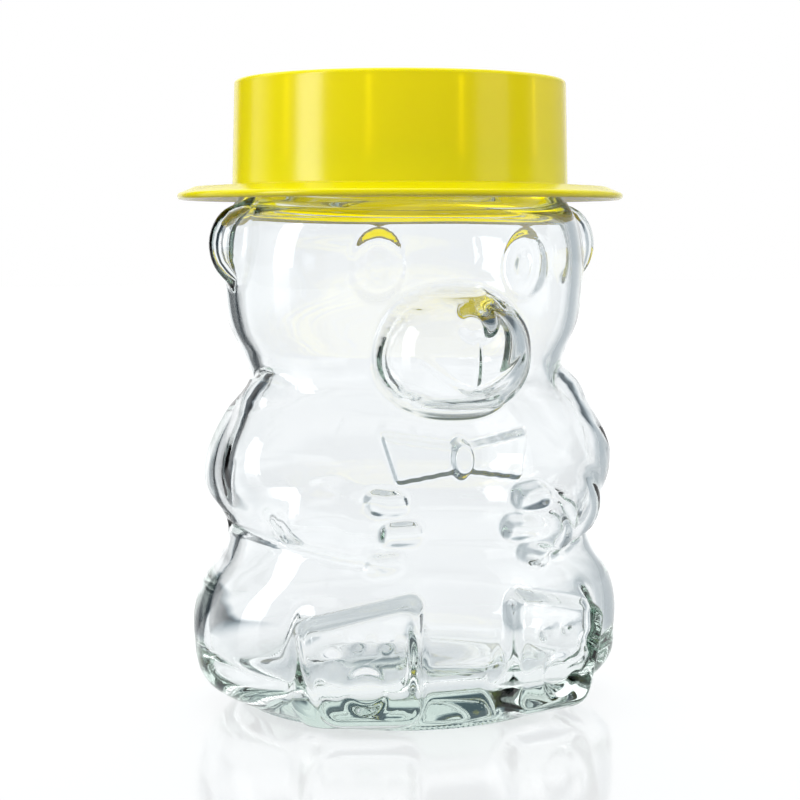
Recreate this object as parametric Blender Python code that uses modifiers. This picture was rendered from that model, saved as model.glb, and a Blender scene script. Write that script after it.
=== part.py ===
"""Glass honey jar moulded as a sitting bear, closed by a steel lug cap under a yellow hat cover.

Metres, +Z up. The origin is the centre of the ring that the jar stands on, and the bear faces -Y.
"""
import math

import bmesh
import bpy
import numpy as np
from mathutils import Matrix

# Glass jar: heights and walls
JAR_HEIGHT = 0.1250
FINISH_HEIGHT = 0.0185
WALL = 0.0024
LEAST_WALL = 0.0016
BASE_THICKNESS = 0.0060
PUSH_UP = 0.0030
INNER_CORNER = 0.0090
CONTACT_RADIUS = 0.0330
CONTACT_WIDTH = 0.0032
CONTACT_ROUND = 0.0005
HEEL_BLEND = 0.0015

# Glass jar: the round core of the bear, from the floor to the closure
SEAT_RADIUS = 0.0449
WAIST_RADIUS = 0.0380
CHEST_RADIUS = 0.0420
CREASE_RADIUS = 0.0335
HEAD_RADIUS = 0.0375
SHOULDER_RADIUS = 0.0324
SHOULDER_BLEND = 0.0030
INNER_SHOULDER = 0.0065
CORE_SWAY = 0.0062

# Glass jar: ears
EAR_STAND = 0.0044
EAR_THICKNESS = 0.0072
EAR_DEPTH = 0.0065
EAR_HEIGHT = 0.0170

# Glass jar: face
MUZZLE_WIDTH = 0.0308
MUZZLE_HEIGHT = 0.0254
MUZZLE_DEPTH = 0.0145
MUZZLE_STAND = 0.0058
NOSE_WIDTH = 0.0096
NOSE_HEIGHT = 0.0080
NOSE_DEPTH = 0.0018
EYE_WIDTH = 0.0108
EYE_HEIGHT = 0.0134
EYE_DEPTH = 0.0012
PUPIL_WIDTH = 0.0042
PUPIL_HEIGHT = 0.0056
PUPIL_STAND = 0.0006
MOUTH_WIDTH = 0.0204
MOUTH_RISE = 0.0059
MOUTH_LINE = 0.0013
MOUTH_DEPTH = 0.0006
LIP_LENGTH = 0.0090

# Glass jar: bow tie
BOW_WIDTH = 0.0304
BOW_HEIGHT = 0.0100
BOW_WAIST = 0.0050
BOW_STAND = 0.0016
KNOT_WIDTH = 0.0054
KNOT_HEIGHT = 0.0084
KNOT_STAND = 0.0028

# Glass jar: arms and fingers
UPPER_ARM_RADIUS = 0.0095
ELBOW_RADIUS = 0.0125
WRIST_RADIUS = 0.0085
HAND_RADIUS = 0.0083
FINGER_RADIUS = 0.0027
FINGER_PITCH = 0.0056

# Glass jar: legs, soles and paw pads
LEG_WIDTH = 0.0276
LEG_DEPTH = 0.0160
LEG_HEIGHT = 0.0290
LEG_MIDDLE = 0.0140
SOLE_WIDTH = 0.0238
SOLE_HEIGHT = 0.0244
SOLE_DEPTH = 0.0080
SOLE_STEP = 0.0013
SOLE_REACH = 0.0400
SOLE_SPREAD = 0.0214
SOLE_ROUND = 0.0018
SOLE_CORNER = 0.0028
SOLE_FLOOR = 0.0025
SOLE_TURN = math.radians(17)
TOE_RADIUS = 0.0020
TOE_DEPTH = 0.0009
PAD_RADIUS = 0.0046
PAD_SLOPE = 0.0015
PAD_DEPTH = 0.0010

# Glass jar: the finish that the cap screws on
NECK_RADIUS = 0.0296
BORE_RADIUS = 0.0265
BEAD_STAND = 0.0004
BEAD_HEIGHT = 0.0030
NECK_FILLET = 0.0014
RIM_ROUND = 0.0013
THREAD_STARTS = 4
THREAD_LEAD = 0.0120
THREAD_STAND = 0.0016
THREAD_HALF = 0.00050
THREAD_FLANK = 0.0006
THREAD_ARC = math.radians(80)
THREAD_BEFORE_LUG = math.radians(14)

# Sealing ring
RING_THICKNESS = 0.0007
RING_WIDTH = 0.0038
SEAT_GAP = 0.0003

# Steel lug cap
SHEET = 0.00025
CAP_DEPTH = 0.0125
CAP_INNER_GAP = 0.0005
CAP_CORNER = 0.0012
CAP_CURL = 0.0006
PANEL_DROP = 0.0006
PANEL_SLOPE = 0.0010
BUTTON_RADIUS = 0.0080
BUTTON_RISE = 0.0004
LUG_REACH = 0.0018
LUG_WIDTH = 0.0070
LUG_THICKNESS = 0.0006
LUG_GAP = 0.0004

# Hat cover
HAT_GAP = 0.0003
HAT_WALL = 0.0011
HAT_TOP = 0.0013
HAT_DRAFT = 0.0005
HAT_CORNER = 0.0009
RIB_COUNT = 12
RIB_WIDTH = 0.0010
RIB_STAND = 0.0004
RIB_ROOT = 0.0003
RIB_RUN = 0.0023
BRIM_RADIUS = 0.0460
BRIM_THICKNESS = 0.0015
BRIM_DROOP = 0.0005
BRIM_DROP = 0.0014

# Fineness of the meshes
JAR_STEPS = 216
JAR_STEP_HEIGHT = 0.0008
INNER_STEP_HEIGHT = 0.0020
FINISH_STEP_HEIGHT = 0.0005
JAR_FACES = 9400
ROUND_STEPS = 60
CORNER_STEPS = 3
MARCH_START = 0.0600
MARCH_STEPS = 56
MARCH_SHARE = 0.8
TINY = 1e-7

# Places worked out from the sizes
BODY_HEIGHT = JAR_HEIGHT - FINISH_HEIGHT
EAR_REACH = HEAD_RADIUS + EAR_STAND
MUZZLE_REACH = HEAD_RADIUS + MUZZLE_STAND
CAP_TOP = JAR_HEIGHT + SEAT_GAP + RING_THICKNESS + SEAT_GAP + SHEET
CAP_BOTTOM = CAP_TOP - CAP_DEPTH
CREST_RADIUS = NECK_RADIUS + THREAD_STAND
CAP_INNER_RADIUS = CREST_RADIUS + CAP_INNER_GAP
CURL_OUTER_RADIUS = CAP_INNER_RADIUS + CAP_CURL + CAP_CURL
LUG_HEIGHT = CAP_BOTTOM + CAP_CURL
THREAD_HEIGHT = LUG_HEIGHT + LUG_THICKNESS / 2 + LUG_GAP + THREAD_HALF + THREAD_FLANK / 2
HAT_INNER_RADIUS = CURL_OUTER_RADIUS + HAT_GAP + RIB_STAND
HAT_OUTER_RADIUS = HAT_INNER_RADIUS + HAT_WALL
BRIM_FLOOR = BODY_HEIGHT - BRIM_DROP

# Each station of the core: share of the body's height, half-width there, share of that half-width, share of
# the sway by which its middle lies in front of the axis, shares of the half-width that its front and its back
# reach, and the power that squares the corners of its front
CORE_STATION_SHARES = (
    (0.000, CONTACT_RADIUS, 1.00, 0.0, 1.000, 1.00, 2.0),
    (0.050, SEAT_RADIUS, 0.932, 1.0, 0.645, 0.94, 2.0),
    (0.140, SEAT_RADIUS, 1.000, 1.0, 0.648, 0.95, 2.0),
    (0.235, SEAT_RADIUS, 0.968, 1.0, 0.705, 0.95, 2.0),
    (0.300, WAIST_RADIUS, 1.030, 1.0, 0.785, 0.95, 2.0),
    (0.350, WAIST_RADIUS, 0.990, 0.85, 0.820, 0.95, 2.0),
    (0.430, CHEST_RADIUS, 1.000, 0.73, 0.733, 0.95, 2.0),
    (0.500, CHEST_RADIUS, 0.985, 0.73, 0.705, 0.95, 2.0),
    (0.565, CHEST_RADIUS, 0.900, 0.65, 0.752, 0.95, 2.0),
    (0.635, CREASE_RADIUS, 0.970, 0.6, 0.785, 0.95, 2.1),
    (0.680, CREASE_RADIUS, 1.010, 0.45, 0.775, 0.95, 2.2),
    (0.735, HEAD_RADIUS, 0.970, 0.35, 0.770, 0.95, 2.3),
    (0.800, HEAD_RADIUS, 0.995, 0.2, 0.790, 0.95, 2.4),
    (0.870, HEAD_RADIUS, 1.005, 0.1, 0.820, 0.95, 2.4),
    (0.930, HEAD_RADIUS, 0.975, 0.0, 0.883, 0.97, 2.3),
    (0.970, HEAD_RADIUS, 0.912, 0.0, 0.977, 0.99, 2.1),
    (1.000, SHOULDER_RADIUS, 1.00, 0.0, 1.00, 1.00, 2.0),
)

# Heights of the bear's features as shares of the body's height
EAR_HEIGHT_SHARE = 0.888
MUZZLE_HEIGHT_SHARE = 0.693
NOSE_HEIGHT_SHARE = 0.750
EYE_HEIGHT_SHARE = 0.850
MOUTH_HEIGHT_SHARE = 0.632
BOW_HEIGHT_SHARE = 0.502
UPPER_ARM_HEIGHT_SHARE = 0.570
ELBOW_HEIGHT_SHARE = 0.472
WRIST_HEIGHT_SHARE = 0.402
HAND_HEIGHT_SHARE = 0.372
FINGER_HEIGHT_SHARE = 0.370

# Places across the body, as shares of the radius that carries them: to the side, then to the front
EAR_PLACE_SHARE = 0.115
EYE_PLACE_SHARE = 0.408
UPPER_ARM_PLACE_SHARES = (0.665, 0.230)
ELBOW_PLACE_SHARES = (0.674, 0.290)
WRIST_PLACE_SHARES = (0.600, 0.545)
HAND_PLACE_SHARES = (0.455, 0.655)
FINGER_ROOT_PLACE_SHARES = (0.405, 0.785)
FINGER_TIP_PLACE_SHARES = ((0.312, 0.788), (0.244, 0.805), (0.322, 0.787))

# Paw pads on a sole: share of its width from the inner edge, share of its height, share of the radius
TOE_SHARES = ((0.29, 0.685, 0.90), (0.525, 0.69, 0.85), (0.73, 0.545, 1.10))
PAD_PLACE_SHARES = (0.455, 0.300)
SOLE_TAPER_SHARE = 0.20
SOLE_NARROW_SHARE = 0.22
SOLE_CLIMB_SHARE = 0.15

# Shares that shape single features: wing ends of the bow, curve of the smile, fullness of muzzle and leg,
# run-in of a thread, sag of the brim, and rings across the push-up and across the inside of the base
BOW_SLANT_SHARE = 0.25
SMILE_POWER = 1.7
MUZZLE_POWER = 2.3
BOWL_SLOPE_SHARE = 0.8
LEG_POWER = 4.0
THREAD_RUN_SHARE = 0.125
BRIM_SAG_SHARE = 0.25
PUSH_UP_RING_SHARES = (0.0, 0.3, 0.55, 0.75, 0.9)
INNER_RING_SHARES = (0.6, 0.3, 0.0)
FRONT_CROWDING_SHARE = 0.45

# Blends between neighbouring forms, as shares of the wall
SOFT_BLEND_SHARE = 1.5
LIMB_BLEND_SHARE = 0.55
CRISP_BLEND_SHARE = 0.30
INNER_BLEND_SHARE = 1.8
EDGE_SHARE = 0.20


def smooth_step(share):
    share = np.clip(share, 0.0, 1.0)
    return share * share * (3 - 2 * share)


def smooth_min(first, second, blend):
    """The nearer of two distances, with a fillet of about the blend's size where they cross."""
    near = np.maximum(blend - np.abs(first - second), 0.0) / blend
    return np.minimum(first, second) - near * near * blend / 4


def ellipsoid(point, centre, radii, power=2.0):
    """Distance to an ellipsoid or a level oval, which a power above 2 makes fuller at its shoulders."""
    shares = [np.abs(place - middle) / radius for place, middle, radius in zip(point, centre, radii)]
    near = sum(share ** power for share in shares) ** (1 / power)
    slope = np.sqrt(sum((share ** (power - 1) / radius) ** 2 for share, radius in zip(shares, radii)))
    return near ** (power - 1) * (near - 1) / np.maximum(slope, TINY)


def round_cone(point, start, end, start_radius, end_radius):
    """Distance to a limb whose radius changes evenly from its start to its end."""
    run = [end[axis] - start[axis] for axis in range(3)]
    offset = [point[axis] - start[axis] for axis in range(3)]
    length = sum(step * step for step in run)
    along = np.clip(sum(offset[axis] * run[axis] for axis in range(3)) / length, 0.0, 1.0)
    gap = np.sqrt(sum((offset[axis] - along * run[axis]) ** 2 for axis in range(3)))
    return gap - (start_radius + (end_radius - start_radius) * along)


def curve_through(stations, values, places):
    """A smooth curve through the values, with each slope taken from the neighbouring stations."""
    stations = np.asarray(stations)
    values = np.asarray(values)
    slopes = np.gradient(values, stations)
    index = np.clip(np.searchsorted(stations, places) - 1, 0, len(stations) - 2)
    width = stations[index + 1] - stations[index]
    share = np.clip((places - stations[index]) / width, 0.0, 1.0)
    rise = share * share * (3 - 2 * share)
    lead_in = share * (1 - share) ** 2 * width * slopes[index]
    lead_out = share * share * (share - 1) * width * slopes[index + 1]
    return values[index] * (1 - rise) + values[index + 1] * rise + lead_in + lead_out


def core(point):
    """The round core, whose middle sways to the front, wider than it is deep."""
    stations = [row[0] * BODY_HEIGHT for row in CORE_STATION_SHARES]
    radius = curve_through(stations, [row[1] * row[2] for row in CORE_STATION_SHARES], point[2])
    sway = curve_through(stations, [row[3] * CORE_SWAY for row in CORE_STATION_SHARES], point[2])
    front = curve_through(stations, [row[4] for row in CORE_STATION_SHARES], point[2])
    back = curve_through(stations, [row[5] for row in CORE_STATION_SHARES], point[2])
    power = curve_through(stations, [row[6] for row in CORE_STATION_SHARES], point[2])
    ahead = point[1] + sway
    power = np.where(ahead < 0, power, 2.0)
    depth = np.where(ahead < 0, front, back) * radius
    return ellipsoid((point[0], ahead), (0, 0), (radius, depth), power)


def at(shares, radius, height_share):
    """A place beside the bear's middle plane, in front of the axis, at a share of the body's height."""
    return (shares[0] * radius, -shares[1] * radius, height_share * BODY_HEIGHT)


def sole_frame(point):
    """Places in a sole's own frame: along its width, out of its face, and up."""
    inner_edge = (SOLE_SPREAD - math.cos(SOLE_TURN) * SOLE_WIDTH / 2, -SOLE_REACH)
    across = point[0] - inner_edge[0]
    ahead = point[1] - inner_edge[1]
    along = across * math.cos(SOLE_TURN) + ahead * math.sin(SOLE_TURN)
    out = across * math.sin(SOLE_TURN) - ahead * math.cos(SOLE_TURN)
    return along, out, point[2] - SOLE_FLOOR


def rounded(first, second, radius):
    """Distance to what lies inside two others at once, with a round corner where they meet."""
    first = first + radius
    second = second + radius
    outside = np.sqrt(np.maximum(first, 0.0) ** 2 + np.maximum(second, 0.0) ** 2)
    return outside + np.minimum(np.maximum(first, second), 0.0) - radius


def sole(point):
    """A slab with round corners and edges, lower at its outer end, narrower at its foot, its top climbing."""
    along, out, up = sole_frame(point)
    height = SOLE_HEIGHT * (1 - SOLE_TAPER_SHARE * np.clip(along / SOLE_WIDTH, 0.0, 1.0))
    height = height - SOLE_CLIMB_SHARE * np.clip(out, -SOLE_DEPTH, 0.0)
    width = SOLE_WIDTH * (1 - SOLE_NARROW_SHARE * (1 - np.clip(up / SOLE_HEIGHT, 0.0, 1.0)) ** 2)
    side = np.abs(along - width / 2) - width / 2
    rise = np.abs(up - height / 2) - height / 2
    depth = np.abs(out + SOLE_DEPTH / 2) - SOLE_DEPTH / 2
    return rounded(rounded(side, rise, SOLE_CORNER), depth, SOLE_ROUND)


def soft_forms(point, blend):
    """Head, body, limbs and muzzle: the forms that both faces of the glass follow."""
    form = core(point)
    upper_arm = at(UPPER_ARM_PLACE_SHARES, CHEST_RADIUS, UPPER_ARM_HEIGHT_SHARE)
    elbow = at(ELBOW_PLACE_SHARES, CHEST_RADIUS, ELBOW_HEIGHT_SHARE)
    wrist = at(WRIST_PLACE_SHARES, CHEST_RADIUS, WRIST_HEIGHT_SHARE)
    hand = at(HAND_PLACE_SHARES, CHEST_RADIUS, HAND_HEIGHT_SHARE)
    arm = round_cone(point, upper_arm, elbow, UPPER_ARM_RADIUS, ELBOW_RADIUS)
    arm = smooth_min(arm, round_cone(point, elbow, wrist, ELBOW_RADIUS, WRIST_RADIUS), blend)
    arm = smooth_min(arm, round_cone(point, wrist, hand, WRIST_RADIUS, HAND_RADIUS), blend)
    knee = (SOLE_WIDTH / 2, -LEG_DEPTH - SOLE_STEP, LEG_MIDDLE - SOLE_FLOOR)
    leg = ellipsoid(sole_frame(point), knee, (LEG_WIDTH / 2, LEG_DEPTH, LEG_HEIGHT / 2), LEG_POWER)
    muzzle = (0, MUZZLE_DEPTH - MUZZLE_REACH, MUZZLE_HEIGHT_SHARE * BODY_HEIGHT)
    muzzle_radii = (MUZZLE_WIDTH / 2, MUZZLE_DEPTH, MUZZLE_HEIGHT / 2)
    ear = (EAR_REACH - EAR_THICKNESS, -EAR_PLACE_SHARE * HEAD_RADIUS, EAR_HEIGHT_SHARE * BODY_HEIGHT)
    ear_radii = (EAR_THICKNESS, EAR_DEPTH, EAR_HEIGHT / 2)
    limb_blend = blend * LIMB_BLEND_SHARE / SOFT_BLEND_SHARE
    boss = ellipsoid(point, muzzle, muzzle_radii, MUZZLE_POWER)
    for shape in (arm, leg, boss, ellipsoid(point, ear, ear_radii)):
        form = smooth_min(form, shape, limb_blend)
    return form


def crisp_forms(point, form):
    """Fingers and soles, which only the outside of the glass shows."""
    blend = WALL * CRISP_BLEND_SHARE
    root = at(FINGER_ROOT_PLACE_SHARES, CHEST_RADIUS, FINGER_HEIGHT_SHARE)
    for number, shares in enumerate(FINGER_TIP_PLACE_SHARES):
        rise = (1 - number) * FINGER_PITCH
        tip = at(shares, CHEST_RADIUS, FINGER_HEIGHT_SHARE)
        start = (root[0], root[1], root[2] + rise)
        end = (tip[0], tip[1], tip[2] + rise)
        form = smooth_min(form, round_cone(point, start, end, FINGER_RADIUS, FINGER_RADIUS), blend)
    return smooth_min(form, sole(point), blend)


def march(angle, height, distance):
    """Radius of the outermost place where the distance ends, along level rays to the axis."""
    reach = np.full(np.broadcast(angle, height).shape, MARCH_START)
    across = np.abs(np.cos(angle))
    ahead = np.sin(angle)
    for step in range(MARCH_STEPS):
        reach = reach - MARCH_SHARE * distance((reach * across, reach * ahead, height))
    return reach


def soften(radii):
    """Each radius averaged with its neighbours along its ring and with the rings above and below."""
    along = (np.roll(radii, 1, axis=1) + 2 * radii + np.roll(radii, -1, axis=1)) / 4
    padded = np.concatenate((along[:1], along, along[-1:]))
    return (padded[:-2] + 2 * padded[1:-1] + padded[2:]) / 4


def raised(inside, stand, edge):
    """Height of a raised area whose edge lies where the inside distance is zero."""
    return stand * smooth_step(inside / edge)


def oval(across, up, width, height):
    """Share of the way from the middle of an oval to its edge."""
    return np.sqrt((2 * across / width) ** 2 + (2 * up / height) ** 2)


def bowl(share, depth):
    """Depth of a round dimple, with a soft brim."""
    return depth * smooth_step((1 - share) / BOWL_SLOPE_SHARE)


def relief(radius, angle, height):
    """Raised bow tie, and sunk eyes, nose, mouth, toes and pads, as heights on the outside of the glass."""
    side = np.abs(radius * np.cos(angle))
    ahead = radius * np.sin(angle)
    edge = WALL * EDGE_SHARE
    bow_up = height - BOW_HEIGHT_SHARE * BODY_HEIGHT
    wing_half = BOW_WAIST / 2 + (BOW_HEIGHT - BOW_WAIST) / 2 * side / (BOW_WIDTH / 2)
    wing_end = BOW_WIDTH / 2 - BOW_SLANT_SHARE * (BOW_HEIGHT / 2 - bow_up)
    wing = np.minimum(wing_half - np.abs(bow_up), wing_end - side)
    bow = raised(wing, BOW_STAND, edge)
    knot_out = oval(side, bow_up, KNOT_WIDTH, KNOT_HEIGHT)
    bow = np.maximum(bow, raised((1 - knot_out) * KNOT_WIDTH / 2, KNOT_STAND, edge + edge))
    mouth_low = MOUTH_HEIGHT_SHARE * BODY_HEIGHT
    smile = mouth_low + MOUTH_RISE * (side / (MOUTH_WIDTH / 2)) ** SMILE_POWER
    smile_off = np.maximum(np.abs(height - smile), side - MOUTH_WIDTH / 2)
    lip_off = np.maximum(side, np.abs(height - mouth_low - LIP_LENGTH / 2) - LIP_LENGTH / 2)
    line = MOUTH_LINE / 2 - np.minimum(smile_off, lip_off)
    mouth = raised(line, MOUTH_DEPTH, MOUTH_LINE / 2)
    nose = bowl(oval(side, height - NOSE_HEIGHT_SHARE * BODY_HEIGHT, NOSE_WIDTH, NOSE_HEIGHT), NOSE_DEPTH)
    eye_side = side - EYE_PLACE_SHARE * HEAD_RADIUS
    eye_up = height - EYE_HEIGHT_SHARE * BODY_HEIGHT
    eye = raised((1 - oval(eye_side, eye_up, EYE_WIDTH, EYE_HEIGHT)) * EYE_WIDTH / 2, EYE_DEPTH, EYE_DEPTH)
    pupil_out = oval(eye_side, eye_up, PUPIL_WIDTH, PUPIL_HEIGHT)
    pupil = raised((1 - pupil_out) * PUPIL_WIDTH / 2, PUPIL_STAND, edge)
    front = np.where(ahead < 0, 1.0, 0.0)
    along, out, up = sole_frame((side, ahead, height))
    on_face = smooth_step((out + PAD_RADIUS) / PAD_RADIUS)
    pads = 0.0
    for width_share, height_share, size_share in TOE_SHARES:
        toe_size = 2 * TOE_RADIUS * size_share
        toe = oval(along - width_share * SOLE_WIDTH, up - height_share * SOLE_HEIGHT, toe_size, toe_size)
        pads = np.maximum(pads, bowl(toe, TOE_DEPTH))
    pad_along = along - PAD_PLACE_SHARES[0] * SOLE_WIDTH
    pad_off = np.sqrt(pad_along ** 2 + (up - PAD_PLACE_SHARES[1] * SOLE_HEIGHT) ** 2)
    pads = np.maximum(pads, raised(PAD_RADIUS - pad_off, PAD_DEPTH, PAD_SLOPE))
    return front * (bow - mouth - np.maximum(nose, eye) + pupil - on_face * pads)


def outer_body(angle, height):
    """Radius of the outside of the glass, from the floor to the closure."""
    blend = WALL * SOFT_BLEND_SHARE
    radius = march(angle, height, lambda point: crisp_forms(point, soft_forms(point, blend)))
    radius = soften(radius + relief(radius, angle, height))
    heel = smooth_step(height / HEEL_BLEND)
    radius = CONTACT_RADIUS * (1 - heel) + radius * heel
    top = smooth_step((height - BODY_HEIGHT + SHOULDER_BLEND) / SHOULDER_BLEND)
    return radius * (1 - top) + SHOULDER_RADIUS * top


def inner_body(angle, height):
    """Radius of the inside of the glass, a wall behind the soft forms, narrowing to the bore."""
    blend = WALL * INNER_BLEND_SHARE
    radius = march(angle, height, lambda point: soft_forms(point, blend) + WALL)
    top = smooth_step((height - BODY_HEIGHT + INNER_SHOULDER) / INNER_SHOULDER)
    radius = radius * (1 - top) + BORE_RADIUS * top
    return np.minimum(radius, outer_body(angle, height) - LEAST_WALL)


def thread(angle, height):
    """How far the four thread starts stand out of the neck."""
    pitch_angle = 2 * math.pi / THREAD_STARTS
    turned = np.mod(angle + THREAD_BEFORE_LUG, pitch_angle)
    middle = THREAD_HEIGHT + THREAD_LEAD * (turned - THREAD_BEFORE_LUG) / (2 * math.pi)
    flank = smooth_step((THREAD_HALF + THREAD_FLANK - np.abs(height - middle)) / THREAD_FLANK)
    run_in = THREAD_ARC * THREAD_RUN_SHARE
    ends = smooth_step(turned / run_in) * smooth_step((THREAD_ARC - turned) / run_in)
    return THREAD_STAND * flank * ends


def arc(centre, radius, start, end):
    """Points of a round corner, from the start angle to the end angle, in degrees."""
    angles = [start + (end - start) * step / CORNER_STEPS for step in range(CORNER_STEPS + 1)]
    points = []
    for angle in angles:
        turn = math.radians(angle)
        points.append((centre[0] + radius * math.cos(turn), centre[1] + radius * math.sin(turn)))
    return points


def jar_rings(angles):
    """Radius and height of each ring of the glass, from under the base, over the rim, to the inner floor."""
    rings = []
    contact_inner = CONTACT_RADIUS - CONTACT_WIDTH
    for share in PUSH_UP_RING_SHARES:
        rise = PUSH_UP * (1 - share ** 3) + CONTACT_ROUND * share
        rings.append((share * contact_inner, rise))
    rings.append((contact_inner, 0.0))
    rings.append((CONTACT_RADIUS, 0.0))
    steps = round(BODY_HEIGHT / JAR_STEP_HEIGHT)
    heights = BODY_HEIGHT * np.arange(1, steps + 1) / steps
    rings.extend(zip(outer_body(angles, heights[:, None]), heights))
    bead_middle = BODY_HEIGHT + BEAD_HEIGHT / 2
    bead = SHOULDER_RADIUS + BEAD_STAND
    rings.append((bead, bead_middle))
    rings.append((bead - BEAD_STAND, BODY_HEIGHT + BEAD_HEIGHT))
    corner = (NECK_RADIUS + NECK_FILLET, BODY_HEIGHT + BEAD_HEIGHT + NECK_FILLET)
    rings.extend(reversed(arc(corner, NECK_FILLET, 180, 270)))
    neck_floor = corner[1]
    rim_floor = JAR_HEIGHT - RIM_ROUND
    steps = round((rim_floor - neck_floor) / FINISH_STEP_HEIGHT)
    for step in range(1, steps):
        height = neck_floor + (rim_floor - neck_floor) * step / steps
        rings.append((NECK_RADIUS + thread(angles, height), height))
    rings.extend(arc((NECK_RADIUS - RIM_ROUND, rim_floor), RIM_ROUND, 0, 90))
    rings.extend(arc((BORE_RADIUS + RIM_ROUND, rim_floor), RIM_ROUND, 90, 180))
    rings.append((BORE_RADIUS, (JAR_HEIGHT + BODY_HEIGHT) / 2))
    inner_floor = BASE_THICKNESS + INNER_CORNER
    steps = round((BODY_HEIGHT - inner_floor) / INNER_STEP_HEIGHT)
    heights = BODY_HEIGHT - (BODY_HEIGHT - inner_floor) * np.arange(steps + 1) / steps
    inner = inner_body(angles, heights[:, None])
    rings.extend(zip(inner, heights))
    foot = inner[-1]
    for step in range(1, CORNER_STEPS + 1):
        turn = math.pi / 2 * step / CORNER_STEPS
        height = BASE_THICKNESS + INNER_CORNER * (1 - math.sin(turn))
        rings.append((foot - INNER_CORNER * (1 - math.cos(turn)), height))
    for share in INNER_RING_SHARES:
        rings.append((share * (foot - INNER_CORNER), BASE_THICKNESS + PUSH_UP * (1 - share)))
    return rings


def turned_net(rings, steps):
    """A mesh of rings turned round the Z axis, in which each vertex knows its ring."""
    net = bmesh.new()
    ring_layer = net.verts.layers.int.new("ring")
    profile = []
    for number, (radius, height) in enumerate(rings):
        vertex = net.verts.new((np.mean(radius), 0, height))
        vertex[ring_layer] = number
        profile.append(vertex)
    edges = [net.edges.new(pair) for pair in zip(profile, profile[1:])]
    bmesh.ops.spin(net, geom=profile + edges, axis=(0, 0, 1), cent=(0, 0, 0), angle=2 * math.pi,
                   steps=steps, use_merge=True)
    bmesh.ops.remove_doubles(net, verts=net.verts, dist=TINY)
    bmesh.ops.recalc_face_normals(net, faces=net.faces)
    return net


def material(name, colour, roughness, transmission=0.0):
    made = bpy.data.materials.new(name)
    made.use_nodes = True
    shader = made.node_tree.nodes["Principled BSDF"]
    shader.inputs["Base Color"].default_value = (*colour, 1)
    shader.inputs["Roughness"].default_value = roughness
    shader.inputs["Transmission Weight"].default_value = transmission
    made.diffuse_color = (*colour, 1)
    return made


def add_object(name, mesh, collection, surface=None):
    made = bpy.data.objects.new(name, mesh)
    if surface:
        mesh.materials.append(surface)
    collection.objects.link(made)
    return made


def turned_object(name, outline, collection, surface):
    """A closed piece turned from an outline that starts and ends on the axis, or that closes on itself."""
    mesh = bpy.data.meshes.new(name)
    closed = outline[0][0] > TINY
    edges = [(number, number + 1) for number in range(len(outline) - 1)]
    if closed:
        edges.append((len(outline) - 1, 0))
    mesh.from_pydata([(radius, 0, height) for radius, height in outline], edges, [])
    made = add_object(name, mesh, collection, surface)
    screw = made.modifiers.new("Turn", "SCREW")
    screw.angle = 2 * math.pi
    screw.steps = ROUND_STEPS
    screw.render_steps = ROUND_STEPS
    screw.use_merge_vertices = True
    screw.merge_threshold = TINY
    screw.use_smooth_shade = True
    return made


def add_union(target, tool):
    tool.hide_render = True
    tool.display_type = "WIRE"
    union = target.modifiers.new("Join", "BOOLEAN")
    union.operation = "UNION"
    union.solver = "EXACT"
    union.object = tool


def blocks_round(name, count, size, centre, collection, rise_per_turn=0.0):
    """Equal blocks in a ring, each turned to face the axis."""
    net = bmesh.new()
    slope = math.atan2(rise_per_turn, 2 * math.pi * centre[0])
    for number in range(count):
        turn = Matrix.Rotation(2 * math.pi * number / count, 4, "Z")
        tilt = Matrix.Rotation(slope, 4, "X")
        place = turn @ Matrix.Translation((centre[0], 0, centre[1])) @ tilt
        bmesh.ops.create_cube(net, size=1, matrix=place @ Matrix.Diagonal((*size, 1)))
    mesh = bpy.data.meshes.new(name)
    net.to_mesh(mesh)
    net.free()
    return add_object(name, mesh, collection)


def make_jar(collection):
    """The glass bear: one turned net, drawn out to the bear's forms and then thinned to fewer faces."""
    turn = np.arange(JAR_STEPS) * 2 * math.pi / JAR_STEPS
    front = -math.pi / 2
    angles = turn + FRONT_CROWDING_SHARE * np.sin(turn - front - math.pi)
    rings = jar_rings(angles)
    net = turned_net(rings, JAR_STEPS)
    ring_layer = net.verts.layers.int["ring"]
    radii = np.array([np.broadcast_to(radius, angles.shape) for radius, height in rings])
    for vertex in net.verts:
        number = vertex[ring_layer]
        step = round(math.atan2(vertex.co.y, vertex.co.x) / (2 * math.pi) * JAR_STEPS) % JAR_STEPS
        radius = radii[number, step]
        vertex.co = (radius * math.cos(angles[step]), radius * math.sin(angles[step]), rings[number][1])
    bmesh.ops.triangulate(net, faces=net.faces)
    faces = len(net.faces)
    mesh = bpy.data.meshes.new("glass_jar")
    net.to_mesh(mesh)
    net.free()
    glass = material("clear_glass", (0.93, 0.97, 0.95), 0.02, transmission=1.0)
    jar = add_object("glass_jar", mesh, collection, glass)
    thin = jar.modifiers.new("Thin", "DECIMATE")
    thin.ratio = JAR_FACES / faces
    mesh.shade_smooth()
    return jar


def make_ring(collection):
    """The plastisol ring, a flat band that lies on the rim."""
    floor = JAR_HEIGHT + SEAT_GAP
    middle = (NECK_RADIUS + BORE_RADIUS) / 2
    outer = middle + RING_WIDTH / 2
    inner = middle - RING_WIDTH / 2
    top = floor + RING_THICKNESS
    outline = [(inner, top), (outer, top), (outer, floor), (inner, floor)]
    return turned_object("sealing_ring", outline, collection, material("plastisol", (0.82, 0.80, 0.74), 0.5))


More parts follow.
